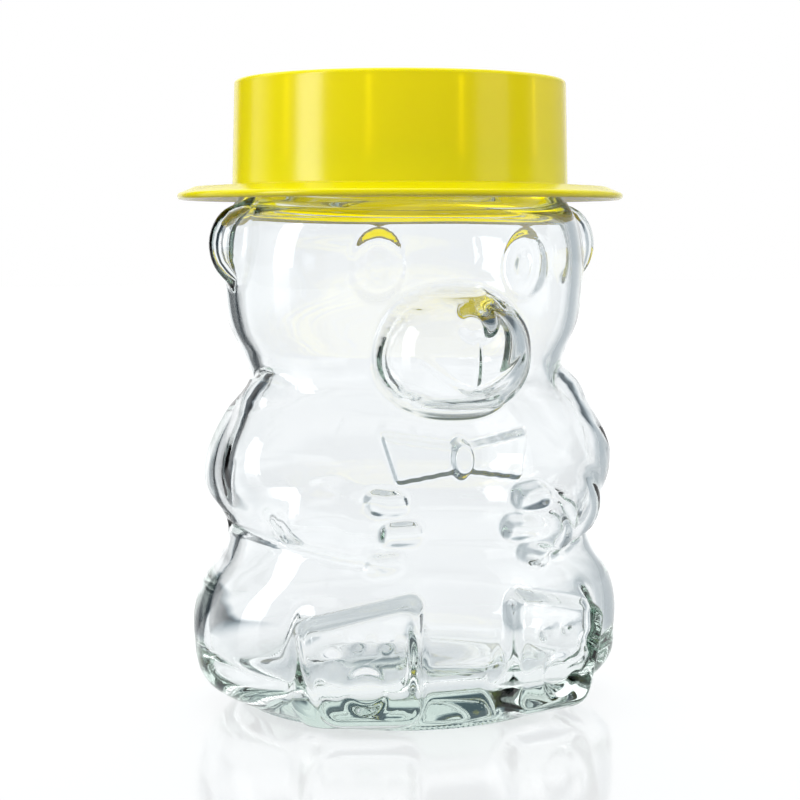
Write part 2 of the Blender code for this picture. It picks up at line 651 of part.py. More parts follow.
def make_cap(collection, tools):
    """The pressed steel cap: channel, sunk panel with its button, skirt, curl and four lugs."""
    channel_inner = BORE_RADIUS - RIM_ROUND
    skirt = CAP_INNER_RADIUS + SHEET
    panel = CAP_TOP - PANEL_DROP
    curl = (CAP_INNER_RADIUS + CAP_CURL, CAP_BOTTOM + CAP_CURL)
    top_side = [
        (0, panel + BUTTON_RISE),
        (BUTTON_RADIUS, panel + BUTTON_RISE),
        (BUTTON_RADIUS + PANEL_SLOPE, panel),
        (channel_inner - PANEL_SLOPE, panel),
        (channel_inner, CAP_TOP),
    ]
    under_side = [(radius, height - SHEET) for radius, height in reversed(top_side)]
    corner = arc((skirt - CAP_CORNER, CAP_TOP - CAP_CORNER), CAP_CORNER, 90, 0)
    inner_corner = arc((skirt - CAP_CORNER, CAP_TOP - CAP_CORNER), CAP_CORNER - SHEET, 0, 90)
    bead = arc(curl, CAP_CURL, 90, -90) + arc(curl, CAP_CURL, -90, -180)[1:]
    outline = top_side + corner + [(skirt, curl[1] + CAP_CURL + SHEET)] + bead
    outline += [(CAP_INNER_RADIUS, curl[1] + CAP_CURL)] + inner_corner + under_side
    steel = material("yellow_lacquered_steel", (0.80, 0.70, 0.01), 0.3)
    cap = turned_object("twist_off_cap", outline, collection, steel)
    lug_length = LUG_REACH + CAP_CURL
    lug_middle = CAP_INNER_RADIUS + CAP_CURL - lug_length / 2
    lug_size = (lug_length, LUG_WIDTH, LUG_THICKNESS)
    lugs = blocks_round("lugs", THREAD_STARTS, lug_size, (lug_middle, LUG_HEIGHT), tools, THREAD_LEAD)
    add_union(cap, lugs)
    return cap


def make_hat(collection, tools):
    """The moulded hat: crown with a little draft, thin brim that droops at its edge, and inner ribs."""
    hat_top = CAP_TOP + HAT_GAP + HAT_TOP
    inner_top = CAP_TOP + HAT_GAP
    top_radius = HAT_OUTER_RADIUS - HAT_DRAFT
    brim_top = BRIM_FLOOR + BRIM_THICKNESS
    edge_round = BRIM_THICKNESS / 2
    edge = (BRIM_RADIUS - edge_round, BRIM_FLOOR + edge_round - BRIM_DROOP)
    outline = [(0, hat_top)]
    outline += arc((top_radius - HAT_CORNER, hat_top - HAT_CORNER), HAT_CORNER, 90, 0)
    outline += [(HAT_OUTER_RADIUS, brim_top)]
    outline += [((HAT_OUTER_RADIUS + edge[0]) / 2, brim_top - BRIM_DROOP * BRIM_SAG_SHARE)]
    outline += arc(edge, edge_round, 90, -90)
    outline += [((HAT_OUTER_RADIUS + edge[0]) / 2, BRIM_FLOOR - BRIM_DROOP * BRIM_SAG_SHARE)]
    outline += [(HAT_INNER_RADIUS, BRIM_FLOOR)]
    outline += [(HAT_INNER_RADIUS, inner_top), (0, inner_top)]
    plastic = material("yellow_plastic", (0.80, 0.72, 0.0), 0.25)
    hat = turned_object("hat_cover", outline, collection, plastic)
    rib_floor = CAP_BOTTOM - RIB_RUN
    rib_top = inner_top + RIB_ROOT
    rib_inner = HAT_INNER_RADIUS - RIB_STAND
    rib_outer = HAT_INNER_RADIUS + RIB_ROOT
    size = (rib_outer - rib_inner, RIB_WIDTH, rib_top - rib_floor)
    centre = ((rib_outer + rib_inner) / 2, (rib_top + rib_floor) / 2)
    add_union(hat, blocks_round("ribs", RIB_COUNT, size, centre, tools))
    return hat


for old in list(bpy.data.objects):
    bpy.data.objects.remove(old)
bear_jar = bpy.data.collections.new("honey_bear_jar")
tool_shapes = bpy.data.collections.new("tool_shapes")
bpy.context.scene.collection.children.link(bear_jar)
bpy.context.scene.collection.children.link(tool_shapes)
make_jar(bear_jar)
make_ring(bear_jar)
make_cap(bear_jar, tool_shapes)
make_hat(bear_jar, tool_shapes)
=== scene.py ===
"""Honey jar moulded as a sitting bear, dressed for the studio.

The frame is metres, +Z up, with the origin at the centre of the ring that the jar stands on. The bear faces
-Y.
"""
import math

import bmesh
import bpy
import numpy as np
from mathutils import Matrix, Vector


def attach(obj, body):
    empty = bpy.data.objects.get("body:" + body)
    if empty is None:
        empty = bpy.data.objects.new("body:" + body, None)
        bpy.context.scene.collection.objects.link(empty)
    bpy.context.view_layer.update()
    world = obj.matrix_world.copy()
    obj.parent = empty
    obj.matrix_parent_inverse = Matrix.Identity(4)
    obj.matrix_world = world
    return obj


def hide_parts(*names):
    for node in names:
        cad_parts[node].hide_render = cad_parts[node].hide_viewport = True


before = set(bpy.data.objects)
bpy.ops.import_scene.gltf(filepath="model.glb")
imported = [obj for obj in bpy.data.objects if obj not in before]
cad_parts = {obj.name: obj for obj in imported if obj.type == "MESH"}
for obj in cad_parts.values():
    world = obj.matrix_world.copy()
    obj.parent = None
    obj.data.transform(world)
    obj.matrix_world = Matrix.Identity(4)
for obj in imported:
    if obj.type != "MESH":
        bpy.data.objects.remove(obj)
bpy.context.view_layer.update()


# --------------------------------------------------------------------------------------------------
# The view. One camera a little to the bear's right, level with its forehead and tipped down a few degrees.
# Its place and lens come from the ellipses of the crown and of the brim.
VIEW_DISTANCE = 0.400
VIEW_HEIGHT = 0.097
VIEW_TURN = math.radians(-20)
VIEW_TIP = math.radians(5)
VIEW_LENS = 86.13
VIEW_SENSOR = 36
VIEW_CLIP = (0.01, 20)

camera = bpy.data.objects.new("studio_camera", bpy.data.cameras.new("studio_camera"))
bpy.context.scene.collection.objects.link(camera)
camera.location = (VIEW_DISTANCE * math.sin(VIEW_TURN), -VIEW_DISTANCE * math.cos(VIEW_TURN), VIEW_HEIGHT)
camera.rotation_euler = (math.pi / 2 - VIEW_TIP, 0, VIEW_TURN)
camera.data.lens = VIEW_LENS
camera.data.sensor_width = VIEW_SENSOR
camera.data.clip_start, camera.data.clip_end = VIEW_CLIP
bpy.context.scene.camera = camera
bpy.context.scene.view_settings.view_transform = "Standard"
# Light turns many times inside the thick foot of the glass before it leaves
LIGHT_TURNS = 24
bpy.context.scene.cycles.max_bounces = LIGHT_TURNS
bpy.context.scene.cycles.glossy_bounces = LIGHT_TURNS
bpy.context.scene.cycles.transmission_bounces = LIGHT_TURNS


# --------------------------------------------------------------------------------------------------
# The studio. A white table that mirrors a little, white surroundings, and dark flags at both sides that draw
# the edges of the glass. The flags are only seen by light that has passed through glass or bounced off gloss.
class Tone:
    """A value in a finish's node tree, so that sums of values read as Python."""

    def __init__(self, finish, socket):
        self.finish = finish
        self.socket = socket

    def sum_with(self, operation, *values):
        return self.finish.node("ShaderNodeMath", {"operation": operation}, values)

    def __add__(self, other):
        return self.sum_with("ADD", self, other)

    def __radd__(self, other):
        return self.sum_with("ADD", other, self)

    def __sub__(self, other):
        return self.sum_with("SUBTRACT", self, other)

    def __rsub__(self, other):
        return self.sum_with("SUBTRACT", other, self)

    def __mul__(self, other):
        return self.sum_with("MULTIPLY", self, other)

    def __rmul__(self, other):
        return self.sum_with("MULTIPLY", other, self)

    def __truediv__(self, other):
        return self.sum_with("DIVIDE", self, other)

    def __pow__(self, other):
        return self.sum_with("POWER", self, other)

    def absolute(self):
        return self.sum_with("ABSOLUTE", self)

    def wave(self):
        return self.sum_with("SINE", self)

    def over(self, low, high):
        """0 below the low value, 1 above the high one, and a smooth step between them."""
        limits = {"Value": self, "From Min": low, "From Max": high}
        return self.finish.node("ShaderNodeMapRange", {"interpolation_type": "SMOOTHSTEP"}, limits)


class Finish:
    """The node tree of one finish or of the studio's light."""

    def __init__(self, tree):
        self.tree = tree

    def node(self, kind, settings=None, inputs=(), output=0):
        made = self.tree.nodes.new(kind)
        for name, value in (settings or {}).items():
            setattr(made, name, value)
        pairs = inputs.items() if isinstance(inputs, dict) else enumerate(inputs)
        for name, value in pairs:
            self.join(made.inputs[name], value)
        return Tone(self, made.outputs[output])

    def join(self, socket, value):
        if isinstance(value, Tone):
            self.tree.links.new(value.socket, socket)
        elif socket.type == "RGBA" and len(value) == 3:
            socket.default_value = (*value, 1)
        else:
            socket.default_value = value

    def parts(self, vector):
        """The three values of a vector."""
        split = self.node("ShaderNodeSeparateXYZ", {}, [vector]).socket.node
        return [Tone(self, socket) for socket in split.outputs]


# Each flag: degrees that it stands to the left of the line of sight, half its width, its soft edge, its depth
FLAGS = ((45, 11, 5, 0.97), (-47, 9, 20, 0.50), (135, 14, 12, 0.60), (-135, 14, 12, 0.60))
FLAG_TOPS = (0.45, 0.70)
# The ceiling and the camera's side are darker, each with one tone and edge in what gloss mirrors and another
# in what is seen through glass. An edge is the share of a direction that points up, or away from the camera.
CEILING_TONE = 0.55
CEILING_EDGE = (0.60, 0.80)
CEILING_BEHIND_GLASS = 0.15
CEILING_EDGE_BEHIND_GLASS = (0.20, 0.38)
NEAR_SIDE_TONE = 0.03
NEAR_SIDE_EDGE = (0.05, 0.40)
NEAR_SIDE_BEHIND_GLASS = 0.15
NEAR_SIDE_EDGE_BEHIND_GLASS = (-0.45, 0.10)
ROOM_LIGHT = 1.15
# What glass lets through leans to blue, the more so where the surroundings are dark
BACKLIGHT = (1.00, 1.025, 1.05)
SHADE_POWERS = (1.15, 1.0, 0.92)


def flagged(facings, fade):
    """How light the surroundings stay where the flags stand, from how squarely each flag is faced."""
    light = 1
    for (_, half, soft, depth), facing in zip(FLAGS, facings):
        flag = facing.over(math.cos(math.radians(half + soft)), math.cos(math.radians(half)))
        light = light * (1 - flag * fade * depth)
    return light


def facing_flags(east, north):
    """How squarely a direction faces each of the flags."""
    level = (east * east + north * north) ** 0.5
    turns = [VIEW_TURN + math.radians(flag[0]) for flag in FLAGS]
    return [(east * -math.sin(turn) + north * math.cos(turn)) / level for turn in turns]


world = bpy.data.worlds.new("studio")
world.use_nodes = True
world.node_tree.nodes.clear()
bpy.context.scene.world = world
room = Finish(world.node_tree)
towards = room.node("ShaderNodeTexCoord", output="Generated")
east, north, up = room.parts(towards)
level = (east * east + north * north) ** 0.5
behind = (east * -math.sin(VIEW_TURN) + north * math.cos(VIEW_TURN)) / level
around = flagged(facing_flags(east, north), 1 - up.absolute().over(*FLAG_TOPS))
mirrored = around * (1 - up.over(*CEILING_EDGE) * (1 - CEILING_TONE))
mirrored = mirrored * (NEAR_SIDE_TONE + (1 - NEAR_SIDE_TONE) * behind.over(*NEAR_SIDE_EDGE))
through = around * (1 - up.over(*CEILING_EDGE_BEHIND_GLASS) * (1 - CEILING_BEHIND_GLASS))
far_side = behind.over(*NEAR_SIDE_EDGE_BEHIND_GLASS)
through = through * (NEAR_SIDE_BEHIND_GLASS + (1 - NEAR_SIDE_BEHIND_GLASS) * far_side)
path = room.node("ShaderNodeLightPath").socket.node
camera_ray = Tone(room, path.outputs["Is Camera Ray"])
glossy_ray = Tone(room, path.outputs["Is Glossy Ray"])
through_ray = Tone(room, path.outputs["Is Transmission Ray"])
lit = (1 - camera_ray) * (1 - glossy_ray) * (1 - through_ray) * ROOM_LIGHT
tone = camera_ray + (1 - through_ray) * glossy_ray * mirrored + lit
colour = room.node("ShaderNodeCombineXYZ", {}, [tone + through_ray * through ** power * level
                                                for power, level in zip(SHADE_POWERS, BACKLIGHT)])
glow = room.node("ShaderNodeBackground", {}, {"Color": colour, "Strength": 1.0})
end = room.tree.nodes.new("ShaderNodeOutputWorld")
room.join(end.inputs["Surface"], glow)

TABLE_HALF = 3.0
TABLE_TONE = (0.16, 0.16, 0.16)
TABLE_ROUGHNESS = 0.10
TABLE_SPECULAR = 0.3
# How much the table shines of itself: for the camera, for what gloss mirrors, and its slight blue
TABLE_FOR_CAMERA = 0.64
TABLE_FOR_GLOSS = 0.60
TABLE_TINT = (0.97, 0.99, 1.0)
# What glass shows of the table: a share of the backlight, with a painted shadow under the jar and painted
# shade of the flags round it
TABLE_BEHIND_GLASS = 0.9
PAINTED_SHADOW_UNDER_JAR = 0.80
PAINTED_SHADOW_EDGE = (0.026, 0.034)
PAINTED_FLAG_SHADE_REACH = (0.05, 0.10)
net = bmesh.new()
bmesh.ops.create_grid(net, x_segments=1, y_segments=1, size=TABLE_HALF)
table_mesh = bpy.data.meshes.new("white_table")
net.to_mesh(table_mesh)
net.free()
table = bpy.data.objects.new("white_table", table_mesh)
bpy.context.scene.collection.objects.link(table)
lacquer = bpy.data.materials.new("white_table")
lacquer.use_nodes = True
gloss = Finish(lacquer.node_tree)
sheet = lacquer.node_tree.nodes["Principled BSDF"]
path = gloss.node("ShaderNodeLightPath").socket.node
camera_ray = Tone(gloss, path.outputs["Is Camera Ray"])
glossy_ray = Tone(gloss, path.outputs["Is Glossy Ray"])
through_ray = Tone(gloss, path.outputs["Is Transmission Ray"])
east, north, up = gloss.parts(gloss.node("ShaderNodeTexCoord", output="Object"))
reach = (east * east + north * north) ** 0.5
# Painted shade of the flags: the table's own glow darkens in their directions from this reach outwards, seen
# in its gloss and through glass
away = reach.over(*PAINTED_FLAG_SHADE_REACH)
shade = flagged(facing_flags(east, north), away)
shine = camera_ray * TABLE_FOR_CAMERA + glossy_ray * shade * TABLE_FOR_GLOSS
white = gloss.node("ShaderNodeCombineXYZ", {}, [shine * share for share in TABLE_TINT])
for name, value in {"Base Color": TABLE_TONE, "Roughness": TABLE_ROUGHNESS,
                    "Specular IOR Level": TABLE_SPECULAR, "Emission Color": white,
                    "Emission Strength": 1.0}.items():
    gloss.join(sheet.inputs[name], value)
# Painted shade on the camera's side of the table, seen only through glass
behind = (east * -math.sin(VIEW_TURN) + north * math.cos(VIEW_TURN)) / reach
near = (1 - behind.over(*NEAR_SIDE_EDGE_BEHIND_GLASS)) * away
shade = shade * (1 - near * (1 - NEAR_SIDE_BEHIND_GLASS))
# Painted shadow under the jar: the table's glow is lowered right beneath it, seen only through glass
shade = shade * (PAINTED_SHADOW_UNDER_JAR + (1 - PAINTED_SHADOW_UNDER_JAR) * reach.over(*PAINTED_SHADOW_EDGE))
behind_glass = gloss.node("ShaderNodeCombineXYZ", {}, [shade ** power * level
                                                       for power, level in zip(SHADE_POWERS, BACKLIGHT)])
behind_glass = gloss.node("ShaderNodeEmission", {}, {"Color": behind_glass, "Strength": 1.0})
either = gloss.node("ShaderNodeMixShader", {},
                    [through_ray * TABLE_BEHIND_GLASS, Tone(gloss, sheet.outputs[0]), behind_glass])
gloss.join(lacquer.node_tree.nodes["Material Output"].inputs["Surface"], either)
table_mesh.materials.append(lacquer)


def lamp(name, place, aim, width, height, power):
    made = bpy.data.lights.new(name, "AREA")
    made.shape = "RECTANGLE"
    made.size = width
    made.size_y = height
    made.energy = power
    holder = bpy.data.objects.new(name, made)
    holder.location = place
    holder.rotation_euler = (Vector(aim) - Vector(place)).to_track_quat("-Z", "Y").to_euler()
    bpy.context.scene.collection.objects.link(holder)


lamp("left_strip", (-1.10, -0.13, 0.25), (0, 0, 0.08), 0.36, 1.3, 7.0)
lamp("right_fill", (0.75, -0.75, 0.50), (0, 0, 0.08), 0.5, 0.7, 1.0)
lamp("top_box", (0.0, 0.15, 1.1), (0, 0, 0.05), 0.9, 0.9, 3.0)


# --------------------------------------------------------------------------------------------------
# The glass jar. Soda-lime glass pressed and blown in a two-part mould: the bear outside, its larger forms
# inside, a thick base with a push-up, and a finish with four thread starts for a lug cap.
# Glass jar: heights and walls
JAR_HEIGHT = 0.1250
FINISH_HEIGHT = 0.0185
WALL = 0.0024
LEAST_WALL = 0.0016
BASE_THICKNESS = 0.0060
PUSH_UP = 0.0030
INNER_CORNER = 0.0090
CONTACT_RADIUS = 0.0330
CONTACT_WIDTH = 0.0032
CONTACT_ROUND = 0.0005
HEEL_BLEND = 0.0015

# Glass jar: the round core of the bear, from the floor to the closure
SEAT_RADIUS = 0.0449
WAIST_RADIUS = 0.0380
CHEST_RADIUS = 0.0420
CREASE_RADIUS = 0.0335
HEAD_RADIUS = 0.0375
SHOULDER_RADIUS = 0.0324
SHOULDER_BLEND = 0.0030
INNER_SHOULDER = 0.0065
CORE_SWAY = 0.0062

# Glass jar: ears
EAR_STAND = 0.0044
EAR_THICKNESS = 0.0072
EAR_DEPTH = 0.0065
EAR_HEIGHT = 0.0170

# Glass jar: face
MUZZLE_WIDTH = 0.0308
MUZZLE_HEIGHT = 0.0254
MUZZLE_DEPTH = 0.0145
MUZZLE_STAND = 0.0058
NOSE_WIDTH = 0.0096
NOSE_HEIGHT = 0.0080
NOSE_DEPTH = 0.0018
EYE_WIDTH = 0.0108
EYE_HEIGHT = 0.0134
EYE_DEPTH = 0.0006
PUPIL_WIDTH = 0.0042
PUPIL_HEIGHT = 0.0056
PUPIL_STAND = 0.0006
MOUTH_WIDTH = 0.0204
MOUTH_RISE = 0.0059
MOUTH_LINE = 0.0013
MOUTH_DEPTH = 0.0006
LIP_LENGTH = 0.0090

# Glass jar: bow tie
BOW_WIDTH = 0.0304
BOW_HEIGHT = 0.0100
BOW_WAIST = 0.0050
BOW_STAND = 0.0016
KNOT_WIDTH = 0.0054
KNOT_HEIGHT = 0.0084
KNOT_STAND = 0.0028

# Glass jar: arms and fingers
UPPER_ARM_RADIUS = 0.0095
ELBOW_RADIUS = 0.0125
WRIST_RADIUS = 0.0085
HAND_RADIUS = 0.0083
FINGER_RADIUS = 0.0027
FINGER_PITCH = 0.0056

# Glass jar: the fold between each arm and the hip, which runs from the hand to the side
FOLD_SIDES = (0.0150, 0.0165, 0.0192, 0.0246, 0.0311, 0.0375, 0.0400)
FOLD_HEIGHTS = (0.0318, 0.0322, 0.0334, 0.0340, 0.0358, 0.0380, 0.0392)
FOLD_DEPTH = 0.0009
FOLD_HALF = 0.0011
FOLD_RUN_OUT = 0.0035

# Glass jar: legs, soles and paw pads
LEG_WIDTH = 0.0276
LEG_DEPTH = 0.0160
LEG_HEIGHT = 0.0290
LEG_MIDDLE = 0.0140
SOLE_WIDTH = 0.0238
SOLE_HEIGHT = 0.0244
SOLE_DEPTH = 0.0080
SOLE_STEP = 0.0013
SOLE_REACH = 0.0400
SOLE_SPREAD = 0.0214
SOLE_ROUND = 0.0018
SOLE_CORNER = 0.0028
SOLE_FLOOR = 0.0025
SOLE_TURN = math.radians(17)
TOE_RADIUS = 0.0020
TOE_DEPTH = 0.0009
PAD_RADIUS = 0.0046
PAD_SLOPE = 0.0015
PAD_DEPTH = 0.0010

# Glass jar: the finish that the cap screws on
NECK_RADIUS = 0.0296
BORE_RADIUS = 0.0265
BEAD_STAND = 0.0004
BEAD_HEIGHT = 0.0030
NECK_FILLET = 0.0014
RIM_ROUND = 0.0013
THREAD_STARTS = 4
THREAD_HEIGHT = 0.11615
THREAD_LEAD = 0.0120
THREAD_STAND = 0.0016
THREAD_HALF = 0.00050
THREAD_FLANK = 0.0006
THREAD_ARC = math.radians(80)
THREAD_BEFORE_LUG = math.radians(14)

# Places worked out from the sizes
BODY_HEIGHT = JAR_HEIGHT - FINISH_HEIGHT
EAR_REACH = HEAD_RADIUS + EAR_STAND
MUZZLE_REACH = HEAD_RADIUS + MUZZLE_STAND

# Fineness of the search for the outside of the forms
MARCH_START = 0.0600
MARCH_STEPS = 56
MARCH_SHARE = 0.8
TINY = 1e-7

# Each station of the core: share of the body's height, half-width there, share of that half-width, share of
# the sway by which its middle lies in front of the axis, shares of the half-width that its front and its back
# reach, and the power that squares the corners of its front
CORE_STATION_SHARES = (
    (0.000, CONTACT_RADIUS, 1.00, 0.0, 1.000, 1.00, 2.0),
    (0.050, SEAT_RADIUS, 0.932, 1.0, 0.645, 0.94, 2.0),
    (0.140, SEAT_RADIUS, 1.000, 1.0, 0.648, 0.95, 2.0),
    (0.235, SEAT_RADIUS, 0.968, 1.0, 0.705, 0.95, 2.0),
    (0.300, WAIST_RADIUS, 1.030, 1.0, 0.785, 0.95, 2.0),
    (0.350, WAIST_RADIUS, 0.990, 0.85, 0.820, 0.95, 2.0),
    (0.430, CHEST_RADIUS, 1.000, 0.73, 0.733, 0.95, 2.0),
    (0.500, CHEST_RADIUS, 0.985, 0.73, 0.705, 0.95, 2.0),
    (0.565, CHEST_RADIUS, 0.900, 0.65, 0.752, 0.95, 2.0),
    (0.635, CREASE_RADIUS, 0.970, 0.6, 0.785, 0.95, 2.1),
    (0.680, CREASE_RADIUS, 1.010, 0.45, 0.775, 0.95, 2.2),
    (0.735, HEAD_RADIUS, 0.970, 0.35, 0.770, 0.95, 2.3),
    (0.800, HEAD_RADIUS, 0.995, 0.2, 0.790, 0.95, 2.4),
    (0.870, HEAD_RADIUS, 1.005, 0.1, 0.820, 0.95, 2.4),
    (0.930, HEAD_RADIUS, 0.975, 0.0, 0.883, 0.97, 2.3),
    (0.970, HEAD_RADIUS, 0.912, 0.0, 0.977, 0.99, 2.1),
    (1.000, SHOULDER_RADIUS, 1.00, 0.0, 1.00, 1.00, 2.0),
)

# Heights of the bear's features as shares of the body's height
EAR_HEIGHT_SHARE = 0.888
MUZZLE_HEIGHT_SHARE = 0.693
NOSE_HEIGHT_SHARE = 0.750
EYE_HEIGHT_SHARE = 0.850
MOUTH_HEIGHT_SHARE = 0.632
BOW_HEIGHT_SHARE = 0.502
UPPER_ARM_HEIGHT_SHARE = 0.570
ELBOW_HEIGHT_SHARE = 0.472
WRIST_HEIGHT_SHARE = 0.402
HAND_HEIGHT_SHARE = 0.372
FINGER_HEIGHT_SHARE = 0.370

# Places across the body, as shares of the radius that carries them: to the side, then to the front
EAR_PLACE_SHARE = 0.115
EYE_PLACE_SHARE = 0.408
UPPER_ARM_PLACE_SHARES = (0.665, 0.230)
ELBOW_PLACE_SHARES = (0.674, 0.290)
WRIST_PLACE_SHARES = (0.600, 0.545)
HAND_PLACE_SHARES = (0.455, 0.655)
FINGER_ROOT_PLACE_SHARES = (0.405, 0.785)
FINGER_TIP_PLACE_SHARES = ((0.312, 0.788), (0.244, 0.805), (0.322, 0.787))

# Paw pads on a sole: share of its width from the inner edge, share of its height, share of the radius
TOE_SHARES = ((0.29, 0.685, 0.90), (0.525, 0.69, 0.85), (0.73, 0.545, 1.10))
PAD_PLACE_SHARES = (0.455, 0.300)
SOLE_TAPER_SHARE = 0.20
SOLE_NARROW_SHARE = 0.22
SOLE_CLIMB_SHARE = 0.15

# Shares and powers that shape single features: wing ends of the bow, curve of the smile, fullness of the
# muzzle, slope of a dimple, fullness of the leg, run-in of a thread
BOW_SLANT_SHARE = 0.25
SMILE_POWER = 1.7
MUZZLE_POWER = 2.3
BOWL_SLOPE_SHARE = 0.8
LEG_POWER = 4.0
THREAD_RUN_SHARE = 0.125

# Blends between neighbouring forms, as shares of the wall
SOFT_BLEND_SHARE = 1.5
LIMB_BLEND_SHARE = 0.55
CRISP_BLEND_SHARE = 0.30
INNER_BLEND_SHARE = 1.8
EDGE_SHARE = 0.20


def smooth_step(share):
    share = np.clip(share, 0.0, 1.0)
    return share * share * (3 - 2 * share)


def smooth_min(first, second, blend):
    """The nearer of two distances, with a fillet of about the blend's size where they cross."""
    near = np.maximum(blend - np.abs(first - second), 0.0) / blend
    return np.minimum(first, second) - near * near * blend / 4


def ellipsoid(point, centre, radii, power=2.0):
    """Distance to an ellipsoid or a level oval, which a power above 2 makes fuller at its shoulders."""
    shares = [np.abs(place - middle) / radius for place, middle, radius in zip(point, centre, radii)]
    near = sum(share ** power for share in shares) ** (1 / power)
    slope = np.sqrt(sum((share ** (power - 1) / radius) ** 2 for share, radius in zip(shares, radii)))
    return near ** (power - 1) * (near - 1) / np.maximum(slope, TINY)


def round_cone(point, start, end, start_radius, end_radius):
    """Distance to a limb whose radius changes evenly from its start to its end."""
    run = [end[axis] - start[axis] for axis in range(3)]
    offset = [point[axis] - start[axis] for axis in range(3)]
    length = sum(step * step for step in run)
    along = np.clip(sum(offset[axis] * run[axis] for axis in range(3)) / length, 0.0, 1.0)
    gap = np.sqrt(sum((offset[axis] - along * run[axis]) ** 2 for axis in range(3)))
    return gap - (start_radius + (end_radius - start_radius) * along)


def curve_through(stations, values, places):
    """A smooth curve through the values, with each slope taken from the neighbouring stations."""
    stations = np.asarray(stations)
    values = np.asarray(values)
    slopes = np.gradient(values, stations)
    index = np.clip(np.searchsorted(stations, places) - 1, 0, len(stations) - 2)
    width = stations[index + 1] - stations[index]
    share = np.clip((places - stations[index]) / width, 0.0, 1.0)
    rise = share * share * (3 - 2 * share)
    lead_in = share * (1 - share) ** 2 * width * slopes[index]
    lead_out = share * share * (share - 1) * width * slopes[index + 1]
    return values[index] * (1 - rise) + values[index + 1] * rise + lead_in + lead_out


def core(point):
    """The round core, whose middle sways to the front, wider than it is deep."""
    stations = [row[0] * BODY_HEIGHT for row in CORE_STATION_SHARES]
    radius = curve_through(stations, [row[1] * row[2] for row in CORE_STATION_SHARES], point[2])
    sway = curve_through(stations, [row[3] * CORE_SWAY for row in CORE_STATION_SHARES], point[2])
    front = curve_through(stations, [row[4] for row in CORE_STATION_SHARES], point[2])
    back = curve_through(stations, [row[5] for row in CORE_STATION_SHARES], point[2])
    power = curve_through(stations, [row[6] for row in CORE_STATION_SHARES], point[2])
    ahead = point[1] + sway
    power = np.where(ahead < 0, power, 2.0)
    depth = np.where(ahead < 0, front, back) * radius
    return ellipsoid((point[0], ahead), (0, 0), (radius, depth), power)


def at(shares, radius, height_share):
    """A place beside the bear's middle plane, in front of the axis, at a share of the body's height."""
    return (shares[0] * radius, -shares[1] * radius, height_share * BODY_HEIGHT)


def sole_frame(point):
    """Places in a sole's own frame: along its width, out of its face, and up."""
    inner_edge = (SOLE_SPREAD - math.cos(SOLE_TURN) * SOLE_WIDTH / 2, -SOLE_REACH)
    across = point[0] - inner_edge[0]
    ahead = point[1] - inner_edge[1]
    along = across * math.cos(SOLE_TURN) + ahead * math.sin(SOLE_TURN)
    out = across * math.sin(SOLE_TURN) - ahead * math.cos(SOLE_TURN)
    return along, out, point[2] - SOLE_FLOOR


def rounded(first, second, radius):
    """Distance to what lies inside two others at once, with a round corner where they meet."""
    first = first + radius
    second = second + radius
    outside = np.sqrt(np.maximum(first, 0.0) ** 2 + np.maximum(second, 0.0) ** 2)
    return outside + np.minimum(np.maximum(first, second), 0.0) - radius


def sole(point):
    """A slab with round corners and edges, lower at its outer end, narrower at its foot, its top climbing."""
    along, out, up = sole_frame(point)
    height = SOLE_HEIGHT * (1 - SOLE_TAPER_SHARE * np.clip(along / SOLE_WIDTH, 0.0, 1.0))
    height = height - SOLE_CLIMB_SHARE * np.clip(out, -SOLE_DEPTH, 0.0)
    width = SOLE_WIDTH * (1 - SOLE_NARROW_SHARE * (1 - np.clip(up / SOLE_HEIGHT, 0.0, 1.0)) ** 2)
    side = np.abs(along - width / 2) - width / 2
    rise = np.abs(up - height / 2) - height / 2
    depth = np.abs(out + SOLE_DEPTH / 2) - SOLE_DEPTH / 2
    return rounded(rounded(side, rise, SOLE_CORNER), depth, SOLE_ROUND)


def soft_forms(point, blend):
    """Head, body, limbs and muzzle: the forms that both faces of the glass follow."""
    form = core(point)
    upper_arm = at(UPPER_ARM_PLACE_SHARES, CHEST_RADIUS, UPPER_ARM_HEIGHT_SHARE)
    elbow = at(ELBOW_PLACE_SHARES, CHEST_RADIUS, ELBOW_HEIGHT_SHARE)
    wrist = at(WRIST_PLACE_SHARES, CHEST_RADIUS, WRIST_HEIGHT_SHARE)
    hand = at(HAND_PLACE_SHARES, CHEST_RADIUS, HAND_HEIGHT_SHARE)
    arm = round_cone(point, upper_arm, elbow, UPPER_ARM_RADIUS, ELBOW_RADIUS)
    arm = smooth_min(arm, round_cone(point, elbow, wrist, ELBOW_RADIUS, WRIST_RADIUS), blend)
    arm = smooth_min(arm, round_cone(point, wrist, hand, WRIST_RADIUS, HAND_RADIUS), blend)
    knee = (SOLE_WIDTH / 2, -LEG_DEPTH - SOLE_STEP, LEG_MIDDLE - SOLE_FLOOR)
    leg = ellipsoid(sole_frame(point), knee, (LEG_WIDTH / 2, LEG_DEPTH, LEG_HEIGHT / 2), LEG_POWER)
    muzzle = (0, MUZZLE_DEPTH - MUZZLE_REACH, MUZZLE_HEIGHT_SHARE * BODY_HEIGHT)
    muzzle_radii = (MUZZLE_WIDTH / 2, MUZZLE_DEPTH, MUZZLE_HEIGHT / 2)
    ear = (EAR_REACH - EAR_THICKNESS, -EAR_PLACE_SHARE * HEAD_RADIUS, EAR_HEIGHT_SHARE * BODY_HEIGHT)
    ear_radii = (EAR_THICKNESS, EAR_DEPTH, EAR_HEIGHT / 2)
    limb_blend = blend * LIMB_BLEND_SHARE / SOFT_BLEND_SHARE
    boss = ellipsoid(point, muzzle, muzzle_radii, MUZZLE_POWER)
    for shape in (arm, leg, boss, ellipsoid(point, ear, ear_radii)):
        form = smooth_min(form, shape, limb_blend)
    return form


